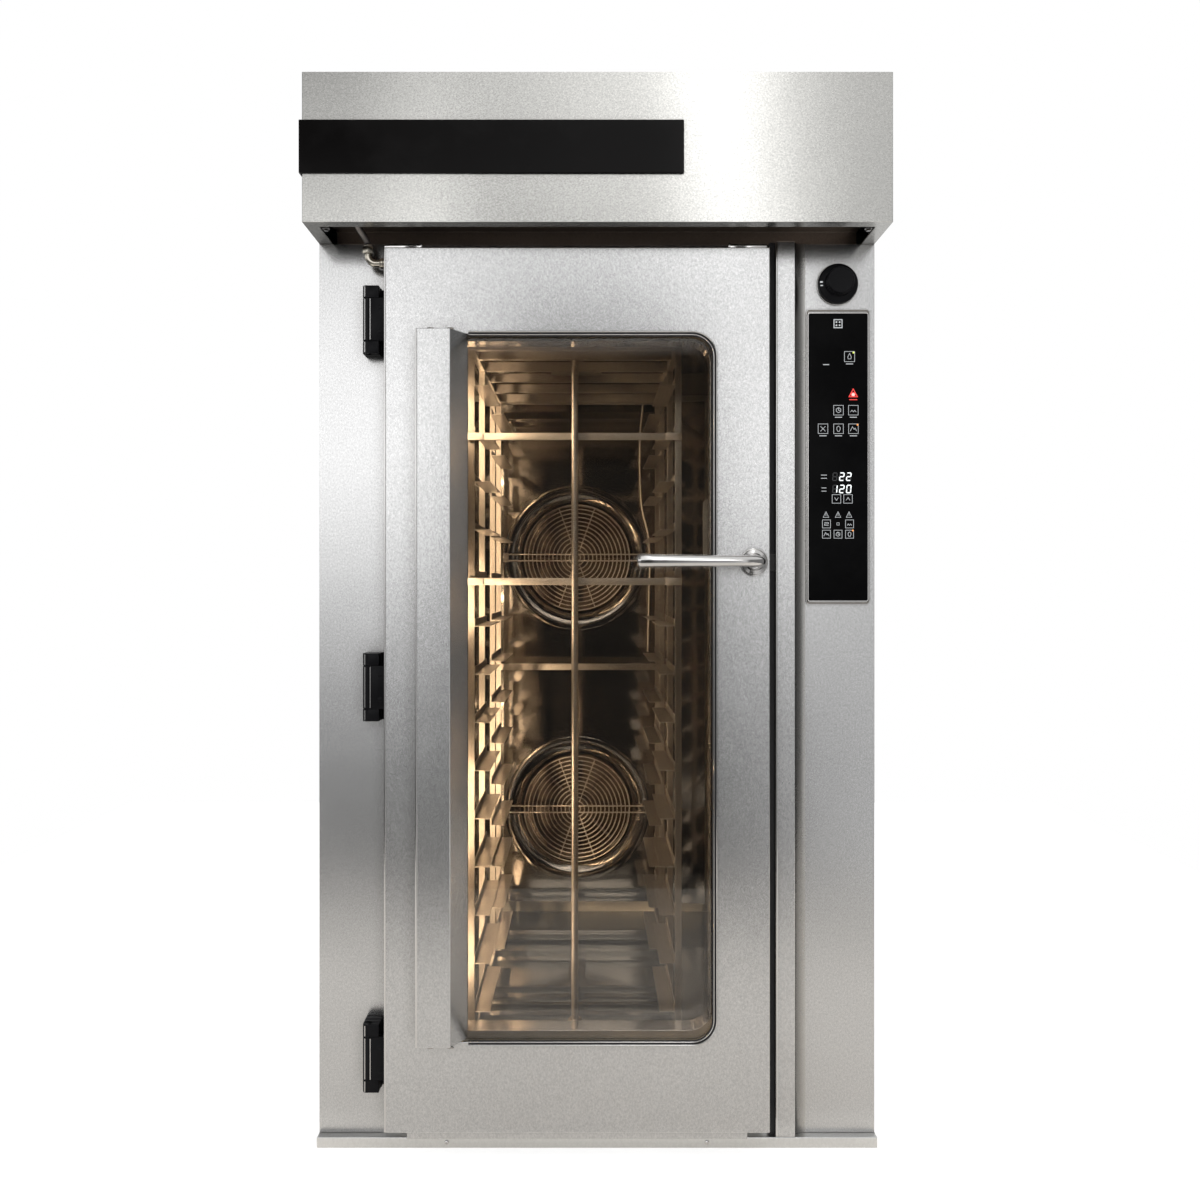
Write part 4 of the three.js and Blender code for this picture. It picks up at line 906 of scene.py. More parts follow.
def postTrim():
    # the post's bright folded edge, a black seal profile in the gap beside the door that also stands for the
    # gap's shade, and the fascia's hollow, whose darker steel is painted shade
    low, high = places["lock_post"]
    fasciaLow, fasciaHigh = places["control_fascia"]
    front = fasciaLow.y
    left = high.x - trim["post"]
    bead = trim["bead"]
    bm = bmesh.new()
    addUpright(bm, left + bead * 0.8, low.y + bead * 0.8, low.z + 1 * mm, high.z - 1 * mm, bead, 20)
    finishPiece(bm, "postEdge", "cabinet", "brightSteel")
    # a black seal in the gap, which also stands for the gap's shade
    bm = bmesh.new()
    start, end, near, far = (size * mm for size in trim["profile"])
    addBar(bm, (left + start, front + near, low.z), (left + end, front + far, high.z), 0.6 * mm)
    finishPiece(bm, "gapSealAndShade", "cabinet", "sealRubber")
    # painted shade: the hollow gets the darker steel
    wide, deep = places["control_bezel"][0].x - 0.6 * mm - high.x, trim["hollow"]
    turns = [math.pi / 2 * i / trim["hollowSteps"] for i in range(trim["hollowSteps"] + 1)]
    hollow = [(high.x + wide * (1 - math.cos(turn)), front - deep * (1 - math.sin(turn))) for turn in turns]
    outline = hollow + [(hollow[-1][0], front + 0.5 * mm), (high.x, front + 0.5 * mm)]
    bm = bmesh.new()
    face = bm.faces.new([bm.verts.new((x, y, fasciaLow.z)) for x, y in outline])
    top = bmesh.ops.extrude_face_region(bm, geom=[face])["geom"]
    bmesh.ops.translate(bm, vec=(0, 0, fasciaHigh.z - fasciaLow.z),
                        verts=[g for g in top if isinstance(g, bmesh.types.BMVert)])
    finishPiece(bm, "fasciaHollow", "cabinet", "hollowShadeSteel", 20)


windowBead()
doorLever()
leverRosette()
for place in ("upper", "middle", "lower"):
    buttHinge(place)
sealRing()
lampRow()
lampHose()
hoseElbow()
doorTrim()
postTrim()
print("door pieces made")


# places on the panel are (u, v): mm to the right of and below the screen's upper left corner
screenLow, screenHigh = places["control_screen"]
inkFront = screenLow.y - 0.25 * mm
inkBack = screenLow.y - 0.02 * mm


def onScreen(u, v):
    return screenLow.x + u * mm, screenHigh.z - v * mm


def addInkBar(bm, u0, v0, u1, v1, width):
    # a straight printed stroke
    x0, z0 = onScreen(u0, v0)
    x1, z1 = onScreen(u1, v1)
    run = Vector((x1 - x0, 0, z1 - z0))
    made = bmesh.ops.create_cube(bm, size=1.0)["verts"]
    turn = Matrix.Rotation(-math.atan2(run.z, run.x), 4, "Y")
    place = Matrix.Translation(((x0 + x1) / 2, (inkFront + inkBack) / 2, (z0 + z1) / 2))
    size = Matrix.Diagonal((run.length + width * mm, inkBack - inkFront, width * mm, 1.0))
    bmesh.ops.transform(bm, matrix=place @ turn @ size, verts=made)


def addInkPath(bm, u, v, points, width=0.7, closed=False):
    for a, b in zip(points, points[1:] + points[:1] if closed else points[1:]):
        addInkBar(bm, u + a[0], v + a[1], u + b[0], v + b[1], width)


def addInkFrame(bm, u, v, half, width):
    addInkPath(bm, u, v, [(-half, -half), (half, -half), (half, half), (-half, half)], width, closed=True)


def addInkDot(bm, u, v, radius, lift=0.0):
    x, z = onScreen(u, v)
    addRod(bm, (x, inkFront - lift, z), (x, inkBack, z), radius * mm, 16)


# channel is half its width, its height and how far in from the bezel's edge its middle lies, in mm
bezel = {"corner": 6 * mm, "lip": 0.9 * mm, "inner": 1.5 * mm, "rimInset": 0.6 * mm,
         "channel": (1.6, 0.8, 2.6)}


def screenBezel():
    # a thin outer lip, a shallow channel and a thicker inner lip against the screen
    low, high = places["control_bezel"]
    tall = high.y - low.y
    diagonal = Vector((1, 0, 1))
    rim = diagonal * bezel["inner"]
    rimInset = diagonal * bezel["rimInset"]
    lip = diagonal * bezel["lip"]
    half, deep, inset = (size * mm for size in bezel["channel"])

    def addLip(bm, start, end, reach, rise, shoulder, flat, corner):
        side = [(reach, 0), (reach * 0.9, rise * shoulder), (reach * flat, rise)]
        section = side + [(-across, out) for across, out in reversed(side)]
        addFrameSweep(bm, section, roundedPath(start, end, high.y, bezel["corner"] * corner), toFront)

    bm = bmesh.new()
    addLip(bm, low + lip, high - lip, bezel["lip"], tall * 0.6, 0.7, 0.3, 1.0)
    addLip(bm, screenLow - rim + rimInset, screenHigh + rim - rimInset, bezel["inner"], tall, 0.75, 0.4, 0.6)
    piece = finishPiece(bm, "screenBezel", "cabinet", "brightSteel", 35)
    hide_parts("control_bezel")
    # painted shade: the channel gets the darker steel
    bm = bmesh.new()
    path = roundedPath(low + diagonal * inset, high - diagonal * inset, high.y, bezel["corner"] * 0.8)
    addFrameSweep(bm, [(half, 0), (half, deep), (-half, deep), (-half, 0)], path, toFront)
    finishPiece(bm, "bezelChannel", "cabinet", "shadeDarkSteel", 35)


# generic marks drawn in a box of about 10 by 10 mm
marks = {
    "drop": [(0, -4.5), (2.6, 0.6), (1.8, 3.2), (-1.8, 3.2), (-2.6, 0.6), (0, -4.5)],
    "clock": [(0, -3.8), (3.3, -1.9), (3.3, 1.9), (0, 3.8), (-3.3, 1.9), (-3.3, -1.9), (0, -3.8), (0, 0),
              (2, 1)],
    "wave": [(-4, 2.5), (-2, 0), (0, 2.5), (2, 0), (4, 2.5)],
    "hill": [(-4.5, 3), (-1.5, -3), (1, 1), (2.5, -1), (4.5, 3)],
    "up": [(-3, 2), (0, -2.5), (3, 2)],
    "down": [(-3, -2), (0, 2.5), (3, -2)],
    "bars": [(-3.5, -2.5), (3.5, -2.5), (3.5, 0), (-3.5, 0), (-3.5, 2.5), (3.5, 2.5)],
    "lamp": [(-2.5, 1), (-2.5, -2), (0, -4), (2.5, -2), (2.5, 1), (1.2, 3.8), (-1.2, 3.8), (-2.5, 1)],
    "fan": [(-3.5, -3.5), (3.5, 3.5), (0, 0), (-3.5, 3.5), (3.5, -3.5)],
}
# u, v, half width and mark of each key; the wider ones have a caption bar under them
keys = [
    (76.8, 80.5, 9.5, "drop"), (56.2, 180.7, 9.0, "clock"), (83.9, 180.7, 9.0, "wave"),
    (27.2, 215.4, 9.0, "fan"), (56.2, 215.4, 9.0, "lamp"), (84.1, 215.4, 9.0, "hill"),
    (52.4, 346.5, 8.0, "down"), (74.0, 346.5, 8.0, "up"),
    (33.7, 393.3, 7.5, "bars"), (76.8, 393.3, 7.5, "wave"),
    (33.7, 412.5, 7.5, "hill"), (55.3, 412.5, 7.5, "clock"), (76.8, 412.5, 7.5, "lamp"),
]
panel = {
    "bars": [(28, 38, 95.5, 1.4), (24, 34, 302.0, 1.1), (24, 34, 308.0, 1.1), (25, 33, 326.0, 1.1),
             (25, 33, 332.0, 1.1)],  # from u, to u, v and width
    "signs": [(32.8, 376.5), (55.3, 376.5), (75.9, 376.5)],
    "plate": (55.3, 19.0, 7.5),
    "alarm": (83.7, 149.8),
    "leds": {"ledGreen": [(84.3, 73.0)], "ledOrange": [(91.8, 207.9), (83.0, 405.5)]},
    "readouts": [(" 22", 45.0, 298.0), ("120", 45.0, 321.0)],
}
# lit bars of each digit: top, upper left, upper right, middle, lower left, lower right, bottom
segments = {"0": "1110111", "1": "0010010", "2": "1011101", "3": "1011011", " ": "0000000"}
digitSize = {"wide": 7.6, "tall": 14.0, "pitch": 13.0, "stroke": 2.3, "lean": 1.3}


def addDigit(bm, shown, u, v):
    w, t, lean = digitSize["wide"], digitSize["tall"], digitSize["lean"]
    gap = digitSize["stroke"] * 0.62
    corners = {"tl": (lean, 0), "tr": (w + lean, 0), "ml": (lean / 2, t / 2), "mr": (w + lean / 2, t / 2),
               "bl": (0, t), "br": (w, t)}
    runs = [("tl", "tr"), ("tl", "ml"), ("tr", "mr"), ("ml", "mr"), ("ml", "bl"), ("mr", "br"), ("bl", "br")]
    for bar, (start, end) in zip(shown, runs):
        if bar == "1":
            a, b = Vector(corners[start]), Vector(corners[end])
            short = (b - a).normalized() * gap
            a, b = a + short, b - short
            addInkBar(bm, u + a.x, v + a.y, u + b.x, v + b.y, digitSize["stroke"] * 0.85)


def printedMarks():
    bm = bmesh.new()
    for u, v, half, mark in keys:
        size = half / 9 * 1.25
        addInkFrame(bm, u, v, half, 0.75)
        addInkPath(bm, u, v, [(a * size, b * size) for a, b in marks[mark]], 0.8)
        if half > 8.5:
            addInkBar(bm, u - 6, v + half + 4.2, u + 6, v + half + 4.2, 1.3)
    for start, end, v, width in panel["bars"]:
        addInkBar(bm, start, v, end, v, width)
    for u, v in panel["signs"]:
        addInkPath(bm, u, v, [(0, -6), (5.2, 4.5), (-5.2, 4.5)], 0.7, closed=True)
        addInkBar(bm, u, v - 3.0, u, v + 1.5, 0.8)
    u, v, half = panel["plate"]
    addInkFrame(bm, u, v, half, 1.6)
    for across, down in ((-3, -3), (3, -3), (-3, 3), (3, 3)):
        addInkDot(bm, u + across, v + down, 1.6)
    addInkFrame(bm, 55.3, 393.3, 2.2, 0.6)
    finishPiece(bm, "panelMarks", "cabinet", "glowingWhiteInk", 30)


def litMarks():
    lit, offSegments = bmesh.new(), bmesh.new()
    for text, u, v in panel["readouts"]:
        for index, digit in enumerate(text):
            bars = segments[digit]
            addDigit(lit, bars, u + index * digitSize["pitch"], v)
            addDigit(offSegments, "".join("10"[int(c)] for c in bars), u + index * digitSize["pitch"], v)
    finishPiece(lit, "readoutDigits", "cabinet", "digitWhite", 30)
    finishPiece(offSegments, "readoutOffGlow", "cabinet", "offDigitGlow", 30)
    for finish, spots in panel["leds"].items():
        bm = bmesh.new()
        for u, v in spots:
            addInkDot(bm, u, v, 1.7)
        finishPiece(bm, finish + "Lamps", "cabinet", finish, 30)
    u, v = panel["alarm"]
    bm = bmesh.new()
    addInkPath(bm, u, v, [(0, -8.8), (7.8, 5.8), (-7.8, 5.8)], 1.6, closed=True)
    addInkDot(bm, u, v + 1.7, 4.4)
    addInkBar(bm, u - 6.7, v + 11.2, u + 6.8, v + 11.2, 1.5)
    finishPiece(bm, "alarmMark", "cabinet", "ledRed", 30)
    bm = bmesh.new()
    addInkDot(bm, u, v + 1.7, 3.0, 0.05 * mm)
    finishPiece(bm, "alarmLamp", "cabinet", "ledPale", 30)


# marks are (inset from the skirt's rim, bottom, top)
knob = {"cap": 24.5 * mm, "skirt": 37 * mm, "ribs": 36, "rib": 0.75 * mm, "ring": 1.2 * mm,
        "marks": [(2.5 * mm, 0.2 * mm, 3.0 * mm), (3.2 * mm, -5.8 * mm, -4.0 * mm)]}


def selectorKnob():
    low, high = places["selector_knob"]
    seat = places["control_fascia"][0].y
    centre = Vector(((low.x + high.x) / 2, low.y, (low.z + high.z) / 2))
    skirtBack = seat - 0.3 * mm - low.y
    cap, skirt = knob["cap"], knob["skirt"]
    profile = [(0, 0.8 * mm), (cap * 0.55, 0.6 * mm), (cap * 0.86, 0.2 * mm), (cap - 2.0 * mm, 0.0),
               (cap - 0.7 * mm, 0.5 * mm), (cap, 2.0 * mm), (cap + 0.8 * mm, 17 * mm),
               (cap + 2.0 * mm, 19 * mm), (skirt - 3 * mm, 20.2 * mm), (skirt - 1.2 * mm, 20.8 * mm),
               (skirt, 22.4 * mm), (skirt, skirtBack), (4 * mm, skirtBack), (4 * mm, high.y - low.y),
               (0, high.y - low.y)]
    bm = bmesh.new()
    addTurned(bm, profile, centre, toRear, 72)
    for i in range(knob["ribs"]):
        turn = 2 * math.pi * i / knob["ribs"]
        spot = centre + Vector((math.cos(turn), 0, math.sin(turn))) * (cap + 0.35 * mm)
        addRod(bm, spot + Vector((0, 3.5 * mm, 0)), spot + Vector((0, 16 * mm, 0)), knob["rib"], 6)
    piece = finishPiece(bm, "selectorKnob", "knob", "blackPlastic", 35)
    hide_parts("selector_knob")
    bm = bmesh.new()
    front = centre.y + 19.8 * mm
    for inset, bottom, top in knob["marks"]:
        addBar(bm, (centre.x - skirt + inset, front - 0.3 * mm, centre.z + bottom),
               (centre.x - cap - inset, front + 1 * mm, centre.z + top))
    finishPiece(bm, "knobMark", "knob", "glowingWhiteInk", 30)
    # painted highlight: a thin bright ring round the skirt shows its white outline
    bm = bmesh.new()
    addHoop(bm, (centre.x, seat + 0.2 * mm, centre.z), toFront, skirt + 0.6 * mm, knob["ring"], 72, 10)
    finishPiece(bm, "knobGlintRing", "cabinet", "brightSteel", 50)


screenBezel()
printedMarks()
litMarks()
selectorKnob()
print("control panel made")


guard = {"rings": 13, "radius": 150 * mm, "wire": 1.5 * mm, "rod": 2.0 * mm, "rodOffset": 9 * mm,
         "reach": 200 * mm, "spokes": (70, 110, 250, 290)}


def fanGuard(place):
    # wire rings on two level rods and four spokes, held by a bracket and a post at each side
    low, high = places[f"{place}_fan_guard"]
    centre = (low + high) / 2
    x, y, reach = centre.x, low.y + 4.5 * mm, guard["reach"]
    bm = bmesh.new()
    for i in range(1, guard["rings"] + 1):
        radius = guard["radius"] * i / guard["rings"] - guard["wire"]
        addHoop(bm, (x, y, centre.z), toFront, radius, guard["wire"], 28 + 4 * i, 7)
    for side in (-1, 1):
        z = centre.z + side * guard["rodOffset"]
        addRod(bm, (x - reach, y - 2.4 * mm, z), (x + reach, y - 2.4 * mm, z), guard["rod"], 12)
        end = Vector((x + side * reach, y - 2 * mm, centre.z))
        addBar(bm, end - Vector((7 * mm, 0, 13 * mm)), end + Vector((7 * mm, 1.5 * mm, 13 * mm)), 0.6 * mm)
        addScrew(bm, end, toFront, 5 * mm, "hex")
        addRod(bm, end, (end.x, high.y, end.z), 4 * mm, 16)
    hub = Vector((x, y + 2.4 * mm, centre.z))
    for turn in guard["spokes"]:
        out = Vector((math.cos(math.radians(turn)), 0, math.sin(math.radians(turn))))
        addRod(bm, hub + out * 0.02, hub + out * (guard["radius"] - 1.5 * mm), 1.4 * mm, 8)
    piece = finishPiece(bm, f"{place}FanGuard", "cabinet", "wireSteel", 50)
    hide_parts(f"{place}_fan_guard")


bell = {"lip": 203 * mm, "throat": 152 * mm}


def inletLip(place):
    # a smooth spun lip laid over an inlet of the baffle
    low, high = places[f"{place}_fan_guard"]
    centre = Vector(((low.x + high.x) / 2, high.y + 0.2 * mm, (low.z + high.z) / 2))
    lip, throat = bell["lip"], bell["throat"]
    profile = [(lip + 1.5 * mm, 0.3 * mm), (lip + 1.5 * mm, -0.2 * mm), (lip, -0.7 * mm),
               (lip - 10 * mm, -0.8 * mm), (lip - 20 * mm, 0.6 * mm), (throat + 22 * mm, 3.0 * mm),
               (throat + 9 * mm, 9 * mm),
               (throat + 2.5 * mm, 17 * mm), (throat - 0.6 * mm, 24 * mm), (throat - 1.0 * mm, 25.0 * mm)]
    bm = bmesh.new()
    addTurned(bm, profile, centre, toRear, 96)
    finishPiece(bm, f"{place}InletLip", "cabinet", "chamberSteel", 50)


# path is (x, z) in mm from the ceiling down, gap is how far the tube hangs in front of the guard
waterTube = {"radius": 2.2 * mm, "nut": 6 * mm, "clip": 2.6 * mm, "gap": 24 * mm,
             "path": [(142, 1598), (134, 1520), (128, 1440), (131, 1282), (150, 1190), (156, 1120),
                      (153, 1000), (150, 860)]}


def steamTube():
    # the thin water tube that hangs from the ceiling beside the fans, with its clip
    y = places["upper_fan_guard"][0].y - waterTube["gap"]
    path = catmull([(x * mm, y, z * mm) for x, z in waterTube["path"]], 8)
    top, end = path[0], path[-1]
    bm = bmesh.new()
    addTube(bm, path, 12, waterTube["radius"])
    addUpright(bm, top.x, y, top.z - 6 * mm, top.z + 1 * mm, waterTube["nut"], 6)
    clipEnd = places["fan_baffle"][0].y + 4 * mm
    addRod(bm, (end.x, y - 0.4 * mm, end.z), (end.x, clipEnd, end.z), waterTube["clip"], 12)
    finishPiece(bm, "steamTube", "cabinet", "wireSteel", 50)


stop = {"radius": 7 * mm, "bend": 22 * mm, "level": 1496 * mm, "bars": (1045.2 * mm, 1345.6 * mm),
        "barHeight": 14.6 * mm, "tab": 33 * mm}


def trayStop():
    # two flat bars and a bent rod whose ends are welded to the rack
    low, high = places["tray_stop"]
    barBack = places["front_left_ladder"][0].y - 0.3 * mm
    bars = bmesh.new()
    for bottom in stop["bars"]:
        top = bottom + stop["barHeight"]
        addBar(bars, (low.x, barBack - 6 * mm, bottom), (high.x, barBack, top), 0.9 * mm)
        for start, end in ((low.x, low.x + stop["tab"]), (high.x - stop["tab"], high.x)):
            addBar(bars, (start, barBack - 7.2 * mm, bottom - 0.3 * mm),
                   (end, barBack - 5.5 * mm, top + 0.3 * mm), 0.6 * mm)
    x, bend, level = (low.x + high.x) / 2, stop["bend"], stop["level"]
    rodY, backY = low.y + 14.5 * mm, high.y - stop["radius"]
    path = [Vector((x, rodY, low.z)), Vector((x, rodY, 0.9))]
    path += arcPoints((x, rodY + bend, level - bend), bend, math.pi, math.pi / 2, 10, toRear)
    path += arcPoints((x, backY - bend, level + bend), bend, -math.pi / 2, 0, 10, toRear)
    path.append(Vector((x, backY, high.z)))
    bm = bmesh.new()
    addTube(bm, path, 20, stop["radius"])
    sleeve = [(7, 0), (13, 0), (14.5, 1.5), (14.5, 37), (13, 39), (7, 39)]
    addTurned(bm, [(out * mm, up * mm) for out, up in sleeve], (x, rodY, low.z + 0.5 * mm), toTop, 32)
    piece = finishPiece(bm, "trayStop", "rack", "rackSteel", 45)
    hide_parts("tray_stop")
    finishPiece(bars, "stopBars", "rack", "latchSteel", 45)


welds = {"seed": 11, "levels": 14, "first": 168 * mm, "pitch": 0.1, "inset": 14.2 * mm}


def rackWelds():
    # small weld beads where the runners meet the posts
    random.seed(welds["seed"])
    left = places["front_left_ladder"][0].x + welds["inset"]
    right = places["front_right_ladder"][1].x - welds["inset"]
    bm = bmesh.new()
    for end in ("front", "rear"):
        for side, x in (("left", left), ("right", right)):
            low, high = places[f"{end}_{side}_ladder"]
            front = (low.y + 6.4 * mm, low.y + 206.4 * mm)
            for level in range(welds["levels"]):
                for y in front if end == "front" else (high.y - 160 * mm, high.y - 6.6 * mm):
                    tall = 4.2 * mm * random.uniform(0.8, 1.2)
                    spot = (x, y, welds["first"] + level * welds["pitch"])
                    addBlob(bm, spot, (1.6 * mm, 1.8 * mm, tall), 1)
    finishPiece(bm, "rackWelds", "rack", "rackSteel", 60)


for makeRound in (fanGuard, inletLip):
    for place in ("upper", "lower"):
        makeRound(place)
steamTube()
trayStop()
rackWelds()
print("chamber pieces made")


flue = {"outer": 75 * mm, "inner": 73 * mm, "screws": 8}


def flueCollar():
    low, high = places["flue_collar"]
    centre = Vector(((low.x + high.x) / 2, (low.y + high.y) / 2, low.z))
    outer, inner = flue["outer"], flue["inner"]
    foot = (high.x - low.x) / 2
    tall = high.z - low.z
    profile = [(inner, 0), (foot, 0), (foot, 2.4 * mm), (foot - 0.6 * mm, 3 * mm), (outer + 2 * mm, 3.2 * mm),
               (outer, 5.2 * mm), (outer, tall * 0.55), (outer + 1.6 * mm, tall * 0.6), (outer, tall * 0.65),
               (outer, tall - 1 * mm), (outer - 1 * mm, tall), (inner, tall), (inner, 0)]
    bm = bmesh.new()
    addTurned(bm, profile, centre, toTop, 72)
    for i in range(flue["screws"]):
        turn = 2 * math.pi * (i + 0.5) / flue["screws"]
        out = Vector((math.cos(turn), math.sin(turn), 0))
        addScrew(bm, centre + out * (foot - 10 * mm) + Vector((0, 0, 3 * mm)), toTop, 3.6 * mm)
    piece = finishPiece(bm, "flueCollar", "cabinet", "greySheet", 40)
    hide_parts("flue_collar")


# plinth holds two places along X; rows and columns are shares of a panel's height and of the hood's width
screws = {"plinth": (-279 * mm, 204.2 * mm), "rows": (0.06, 0.35, 0.65, 0.94),
          "columns": (0.06, 0.28, 0.5, 0.72, 0.94)}


def fasteners():
    bm = bmesh.new()
    for x in screws["plinth"]:
        addScrew(bm, (x, places["base_frame"][0].y - 0.1 * mm, 11 * mm), toFront, 4.2 * mm)
    hoodLow, hoodHigh = places["hood_shell"]
    for x in (hoodLow.x + 32 * mm, hoodHigh.x - 32 * mm):
        addScrew(bm, (x, hoodLow.y + 40 * mm, hoodLow.z + 3 * mm), (0, 0, -1), 4.5 * mm, "hex")
    for name, direction in (("left_side_panel", -1), ("right_side_panel", 1)):
        low, high = places[name]
        x = low.x if direction < 0 else high.x
        for share in screws["rows"]:
            for y in (low.y + 25 * mm, high.y - 25 * mm):
                addScrew(bm, (x, y, low.z + (high.z - low.z) * share), (direction, 0, 0), 4.0 * mm, "flush")
    low, high = places["back_panel"]
    for share in screws["rows"]:
        for x in (low.x + 14 * mm, high.x - 14 * mm):
            addScrew(bm, (x, high.y, low.z + (high.z - low.z) * share), toRear, 3.6 * mm)
    for share in screws["columns"]:
        x = hoodLow.x + (hoodHigh.x - hoodLow.x) * share
        for z in (hoodHigh.z - 18 * mm, hoodLow.z + 14 * mm):
            addScrew(bm, (x, hoodHigh.y, z), toRear, 3.4 * mm)
    finishPiece(bm, "cabinetScrews", "cabinet", "brightSteel", 40)


flueCollar()
fasteners()
print("hood and fasteners made")


lights = [  # name, place, aim, size, power, colour
    ("softLeft", (-3.2, -2.3, 2.1), (-0.2, -0.6, 1.1), (1.4, 1.8), 36, (1.0, 1.0, 1.0)),
    ("softRight", (3.2, -2.5, 2.0), (0.1, -0.6, 1.1), (1.4, 1.8), 28, (1.0, 0.99, 0.98)),
    ("topSoft", (0.0, -0.4, 4.6), (0.0, 0.0, 1.0), (2.6, 2.6), 60, (1.0, 1.0, 1.0)),
]
chamberLamps = {"x": -0.332, "y": -0.500, "heights": (0.243, 0.511, 0.610, 1.000, 1.418), "power": 3.7,
                "colour": (1.0, 0.74, 0.48), "size": (0.02, 0.02)}
# the studio that metal and glass mirror: brightness by slope upwards, a flatter wall on the right,
# bands over the hood by slope sideways, and a dark doorway behind the camera, which is larger for
# rays out of the oven's window
studio = {
    "rises": [(-0.50, 0.45), (-0.32, 0.10), (-0.22, 0.16), (-0.12, 0.48), (-0.02, 0.95), (0.06, 1.75),
              (0.13, 2.6), (0.20, 2.0), (0.28, 1.65), (0.34, 1.65), (0.40, 1.60)],
    "lift": [(-0.70, 0.50), (-0.45, 0.90), (-0.30, 0.90), (-0.20, 1.05), (-0.14, 1.4), (0.14, 1.4),
             (0.20, 1.1)],
    "right": [(0.25, 0.80), (0.45, 0.65), (0.65, 0.22)],
    "sides": [(-0.226, 0.22), (-0.206, 0.74), (-0.06, 1.10), (0.0, 1.40), (0.099, 1.45), (0.105, 3.2),
              (0.154, 3.2), (0.192, 1.10), (0.22, 0.82)],
    "hoodRise": (0.37, 0.43), "rightFrom": (0.212, 0.235), "brightest": 3.2, "reach": 0.7, "ambient": 0.5,
    "doorway": 0.04, "doorwayHalf": (0.124, 0.140), "doorwayTop": (0.30, 0.335), "throughTop": (0.235, 0.265),
    "throughHalf": (0.28, 0.42), "throughGain": 2.0,
}


def addAreaLight(name, place, aim, size, power, colour, mirrored=False):
    data = bpy.data.lights.new(name, "AREA")
    data.shape = "RECTANGLE"
    data.size, data.size_y = size
    data.energy = power
    data.color = colour
    lamp = bpy.data.objects.new(name, data)
    lamp.location = place
    lamp.rotation_euler = (Vector(aim) - Vector(place)).to_track_quat("-Z", "Y").to_euler()
    lamp.visible_camera = False
    lamp.visible_glossy = mirrored
    bpy.context.collection.objects.link(lamp)


def addLights():
    for spec in lights:
        addAreaLight(*spec)
    for i, z in enumerate(chamberLamps["heights"]):
        addAreaLight(f"chamberLamp{i}", (chamberLamps["x"], chamberLamps["y"], z), (-0.05, 0.15, z - 0.05),
                     chamberLamps["size"], chamberLamps["power"], chamberLamps["colour"], mirrored=True)


def rampNode(tree, slope, stops):
    # brightness by slope, straight between the stops
    ramp = addNode(tree, "ShaderNodeValToRGB", Fac=rangeNode(tree, slope, -studio["reach"], studio["reach"]))
    bands = ramp.color_ramp.elements
    while len(bands) < len(stops):
        bands.new(0.5)
    for band, (at, value) in zip(bands, stops):
        band.position = (at + studio["reach"]) / (2 * studio["reach"])
        band.color = (value / studio["brightest"],) * 3 + (1.0,)
    return product(tree, ramp.outputs["Color"], studio["brightest"])


def mixValue(tree, share, first, second):
    rest = mathNode(tree, "SUBTRACT", 1.0, share)
    return mathNode(tree, "ADD", product(tree, second, share), product(tree, first, rest))


def studioStrength(tree, through):
    # brightness of the studio in each direction, worked out from the direction's slopes; through is 1
    # for rays that leave by the oven's window
    direction = addNode(tree, "ShaderNodeTexCoord").outputs["Generated"]
    east, north, up = splitAxes(tree, direction)
    squares = mathNode(tree, "ADD", product(tree, east, east), product(tree, north, north))
    level = largest(tree, mathNode(tree, "SQRT", squares), 0.02)
    across = mathNode(tree, "DIVIDE", east, level)
    rise = mathNode(tree, "DIVIDE", up, level)
    wall = product(tree, rampNode(tree, rise, studio["rises"]), rampNode(tree, across, studio["lift"]))
    right = rampNode(tree, across, studio["right"])
    wall = mixValue(tree, rangeNode(tree, across, *studio["rightFrom"]), wall, right)
    sway = rangeNode(tree, noiseNode(tree, direction, 4.0, 1.0), 0.2, 0.8, -0.01, 0.01)
    over = rampNode(tree, mathNode(tree, "ADD", across, sway), studio["sides"])
    wall = mixValue(tree, rangeNode(tree, rise, *studio["hoodRise"]), wall, over)
    away = mathNode(tree, "ABSOLUTE", across)
    clear = largest(tree, rangeNode(tree, away, *studio["doorwayHalf"]),
                    rangeNode(tree, rise, *studio["doorwayTop"]), rangeNode(tree, north, -0.2, 0.0))
    inside = largest(tree, rangeNode(tree, rise, *studio["throughTop"]),
                     rangeNode(tree, away, *studio["throughHalf"]))
    clear = mixValue(tree, through, clear, product(tree, inside, studio["throughGain"]))
    return largest(tree, product(tree, wall, clear), studio["doorway"])


def raysSeen(tree, path):
    # rays that see the plain background, from the camera or straight through a pane, and rays that
    # mirror the studio
    through = path["Is Transmission Ray"]
    straight = product(tree, through, mathNode(tree, "LESS_THAN", path["Glossy Depth"], 0.5))
    mirrored = mathNode(tree, "SUBTRACT", largest(tree, path["Is Glossy Ray"], through), straight)
    return largest(tree, path["Is Camera Ray"], straight), mirrored


def addWorld():
    world = bpy.data.worlds.new("studio")
    bpy.context.scene.world = world
    world.use_nodes = True
    tree = world.node_tree
    path = addNode(tree, "ShaderNodeLightPath").outputs
    seen, mirrored = raysSeen(tree, path)
    strength = product(tree, studioStrength(tree, path["Is Transmission Ray"]), mirrored)
    diffuse = product(tree, path["Is Diffuse Ray"], studio["ambient"])
    feedAll(tree, tree.nodes["Background"], {"Color": (1.0, 1.0, 1.0),
                                             "Strength": largest(tree, strength, seen, diffuse)})


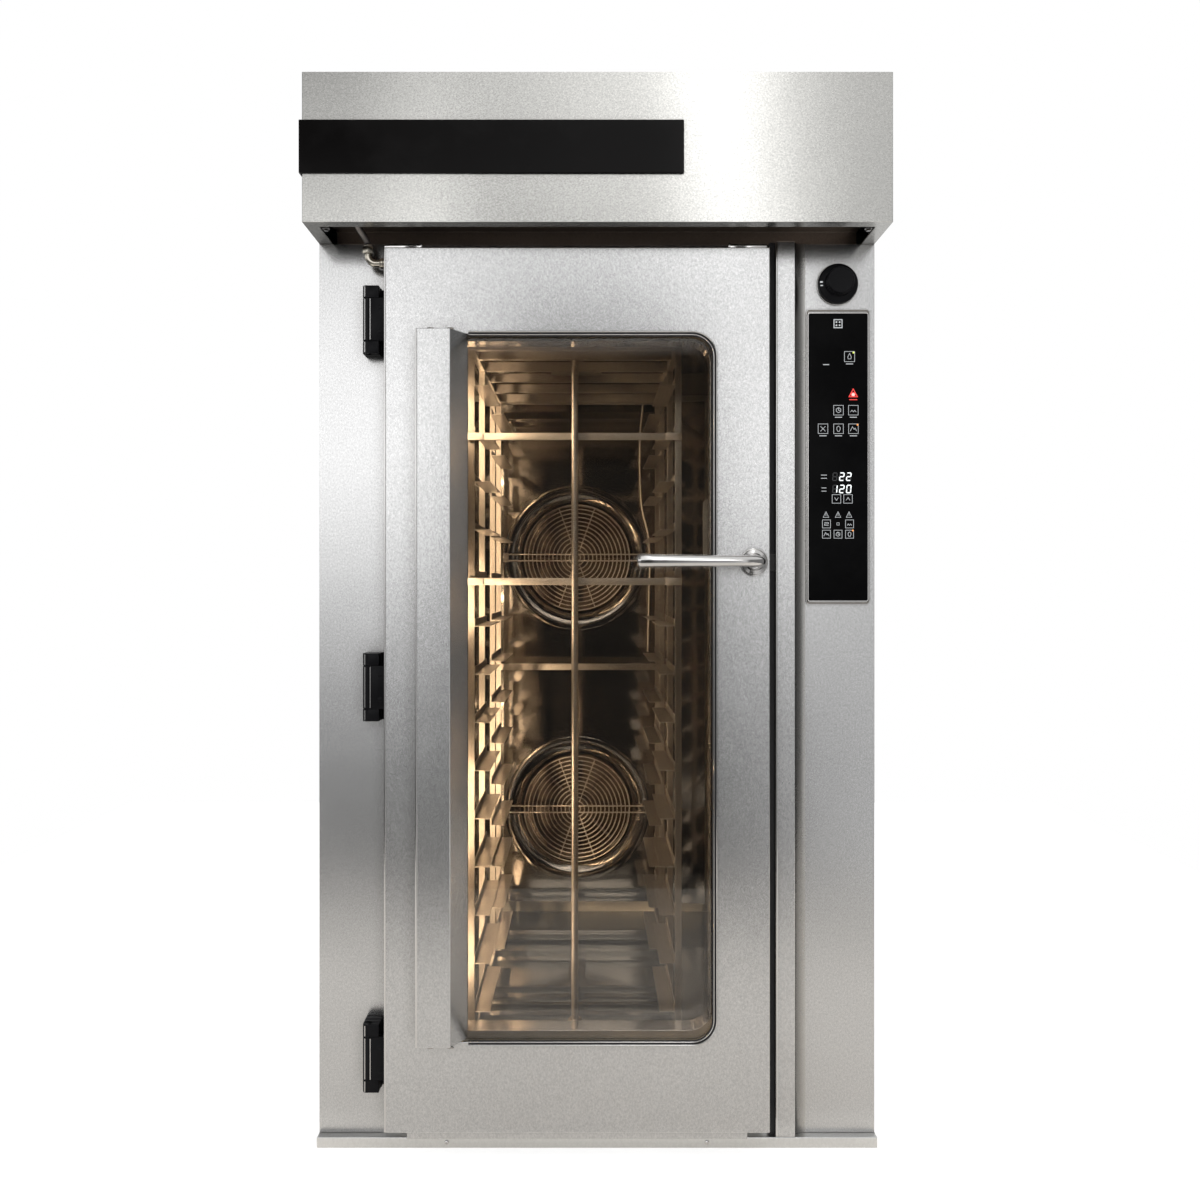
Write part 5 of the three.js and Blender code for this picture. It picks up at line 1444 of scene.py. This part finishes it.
# seen is the glow for the camera; mirrored rays see a painted glow on the floor, tinted, brightest beside the
# oven's foot, with a painted sheen in front of it and painted shade far out. edge, sheenFrom and the range
# where the floor darkens far out are places along Y
floorSpec = {"half": 2.2, "seen": 0.6, "near": 0.31, "edge": (-0.74, -0.68), "dim": 0.35,
             "paintedShade": (-2.1, -1.4), "sheen": 0.11, "sheenFrom": (-2.1, -1.5), "mirroredWarmth": (1.0, 0.958, 0.90)}


def addFloor():
    bm = bmesh.new()
    bmesh.ops.create_grid(bm, x_segments=1, y_segments=1, size=floorSpec["half"])
    mesh = bpy.data.meshes.new("floor")
    bm.to_mesh(mesh)
    bm.free()
    material, tree, shader, position = newMaterial("paleFloor")
    y = splitAxes(tree, position)["Y"]
    seen, mirrored = raysSeen(tree, addNode(tree, "ShaderNodeLightPath").outputs)
    tint = mixColour(tree, mirrored, (1.0, 1.0, 1.0), floorSpec["mirroredWarmth"])
    grained = mixColour(tree, noiseNode(tree, position, 3.0), (0.86, 0.86, 0.86), (0.90, 0.90, 0.90))
    grained = mixColour(tree, 1.0, grained, tint, "MULTIPLY")
    # painted reflection: for mirrored rays the floor is tinted, glows by the foot and in a sheen band, and
    # darkens far out
    dim = product(tree, mirrored, rangeNode(tree, y, *floorSpec["paintedShade"], floorSpec["dim"], 0.0))
    reflected = largest(tree, rangeNode(tree, y, *floorSpec["edge"], 0.0, floorSpec["near"]),
                        rangeNode(tree, y, *floorSpec["sheenFrom"], 0.0, floorSpec["sheen"]))
    feedAll(tree, shader, {
        "Base Color": mixColour(tree, dim, grained, (0.05, 0.05, 0.05)),
        "Roughness": 0.8,
        "Emission Color": tint,
        "Emission Strength": largest(tree, product(tree, seen, floorSpec["seen"]),
                                     product(tree, mirrored, reflected)),
    })
    mesh.materials.append(material)
    floor = bpy.data.objects.new("floor", mesh)
    floor.location.z = -0.5 * mm
    bpy.context.collection.objects.link(floor)


addLights()
addWorld()
addFloor()
bpy.context.scene.view_settings.view_transform = "Standard"
print("stage lit")
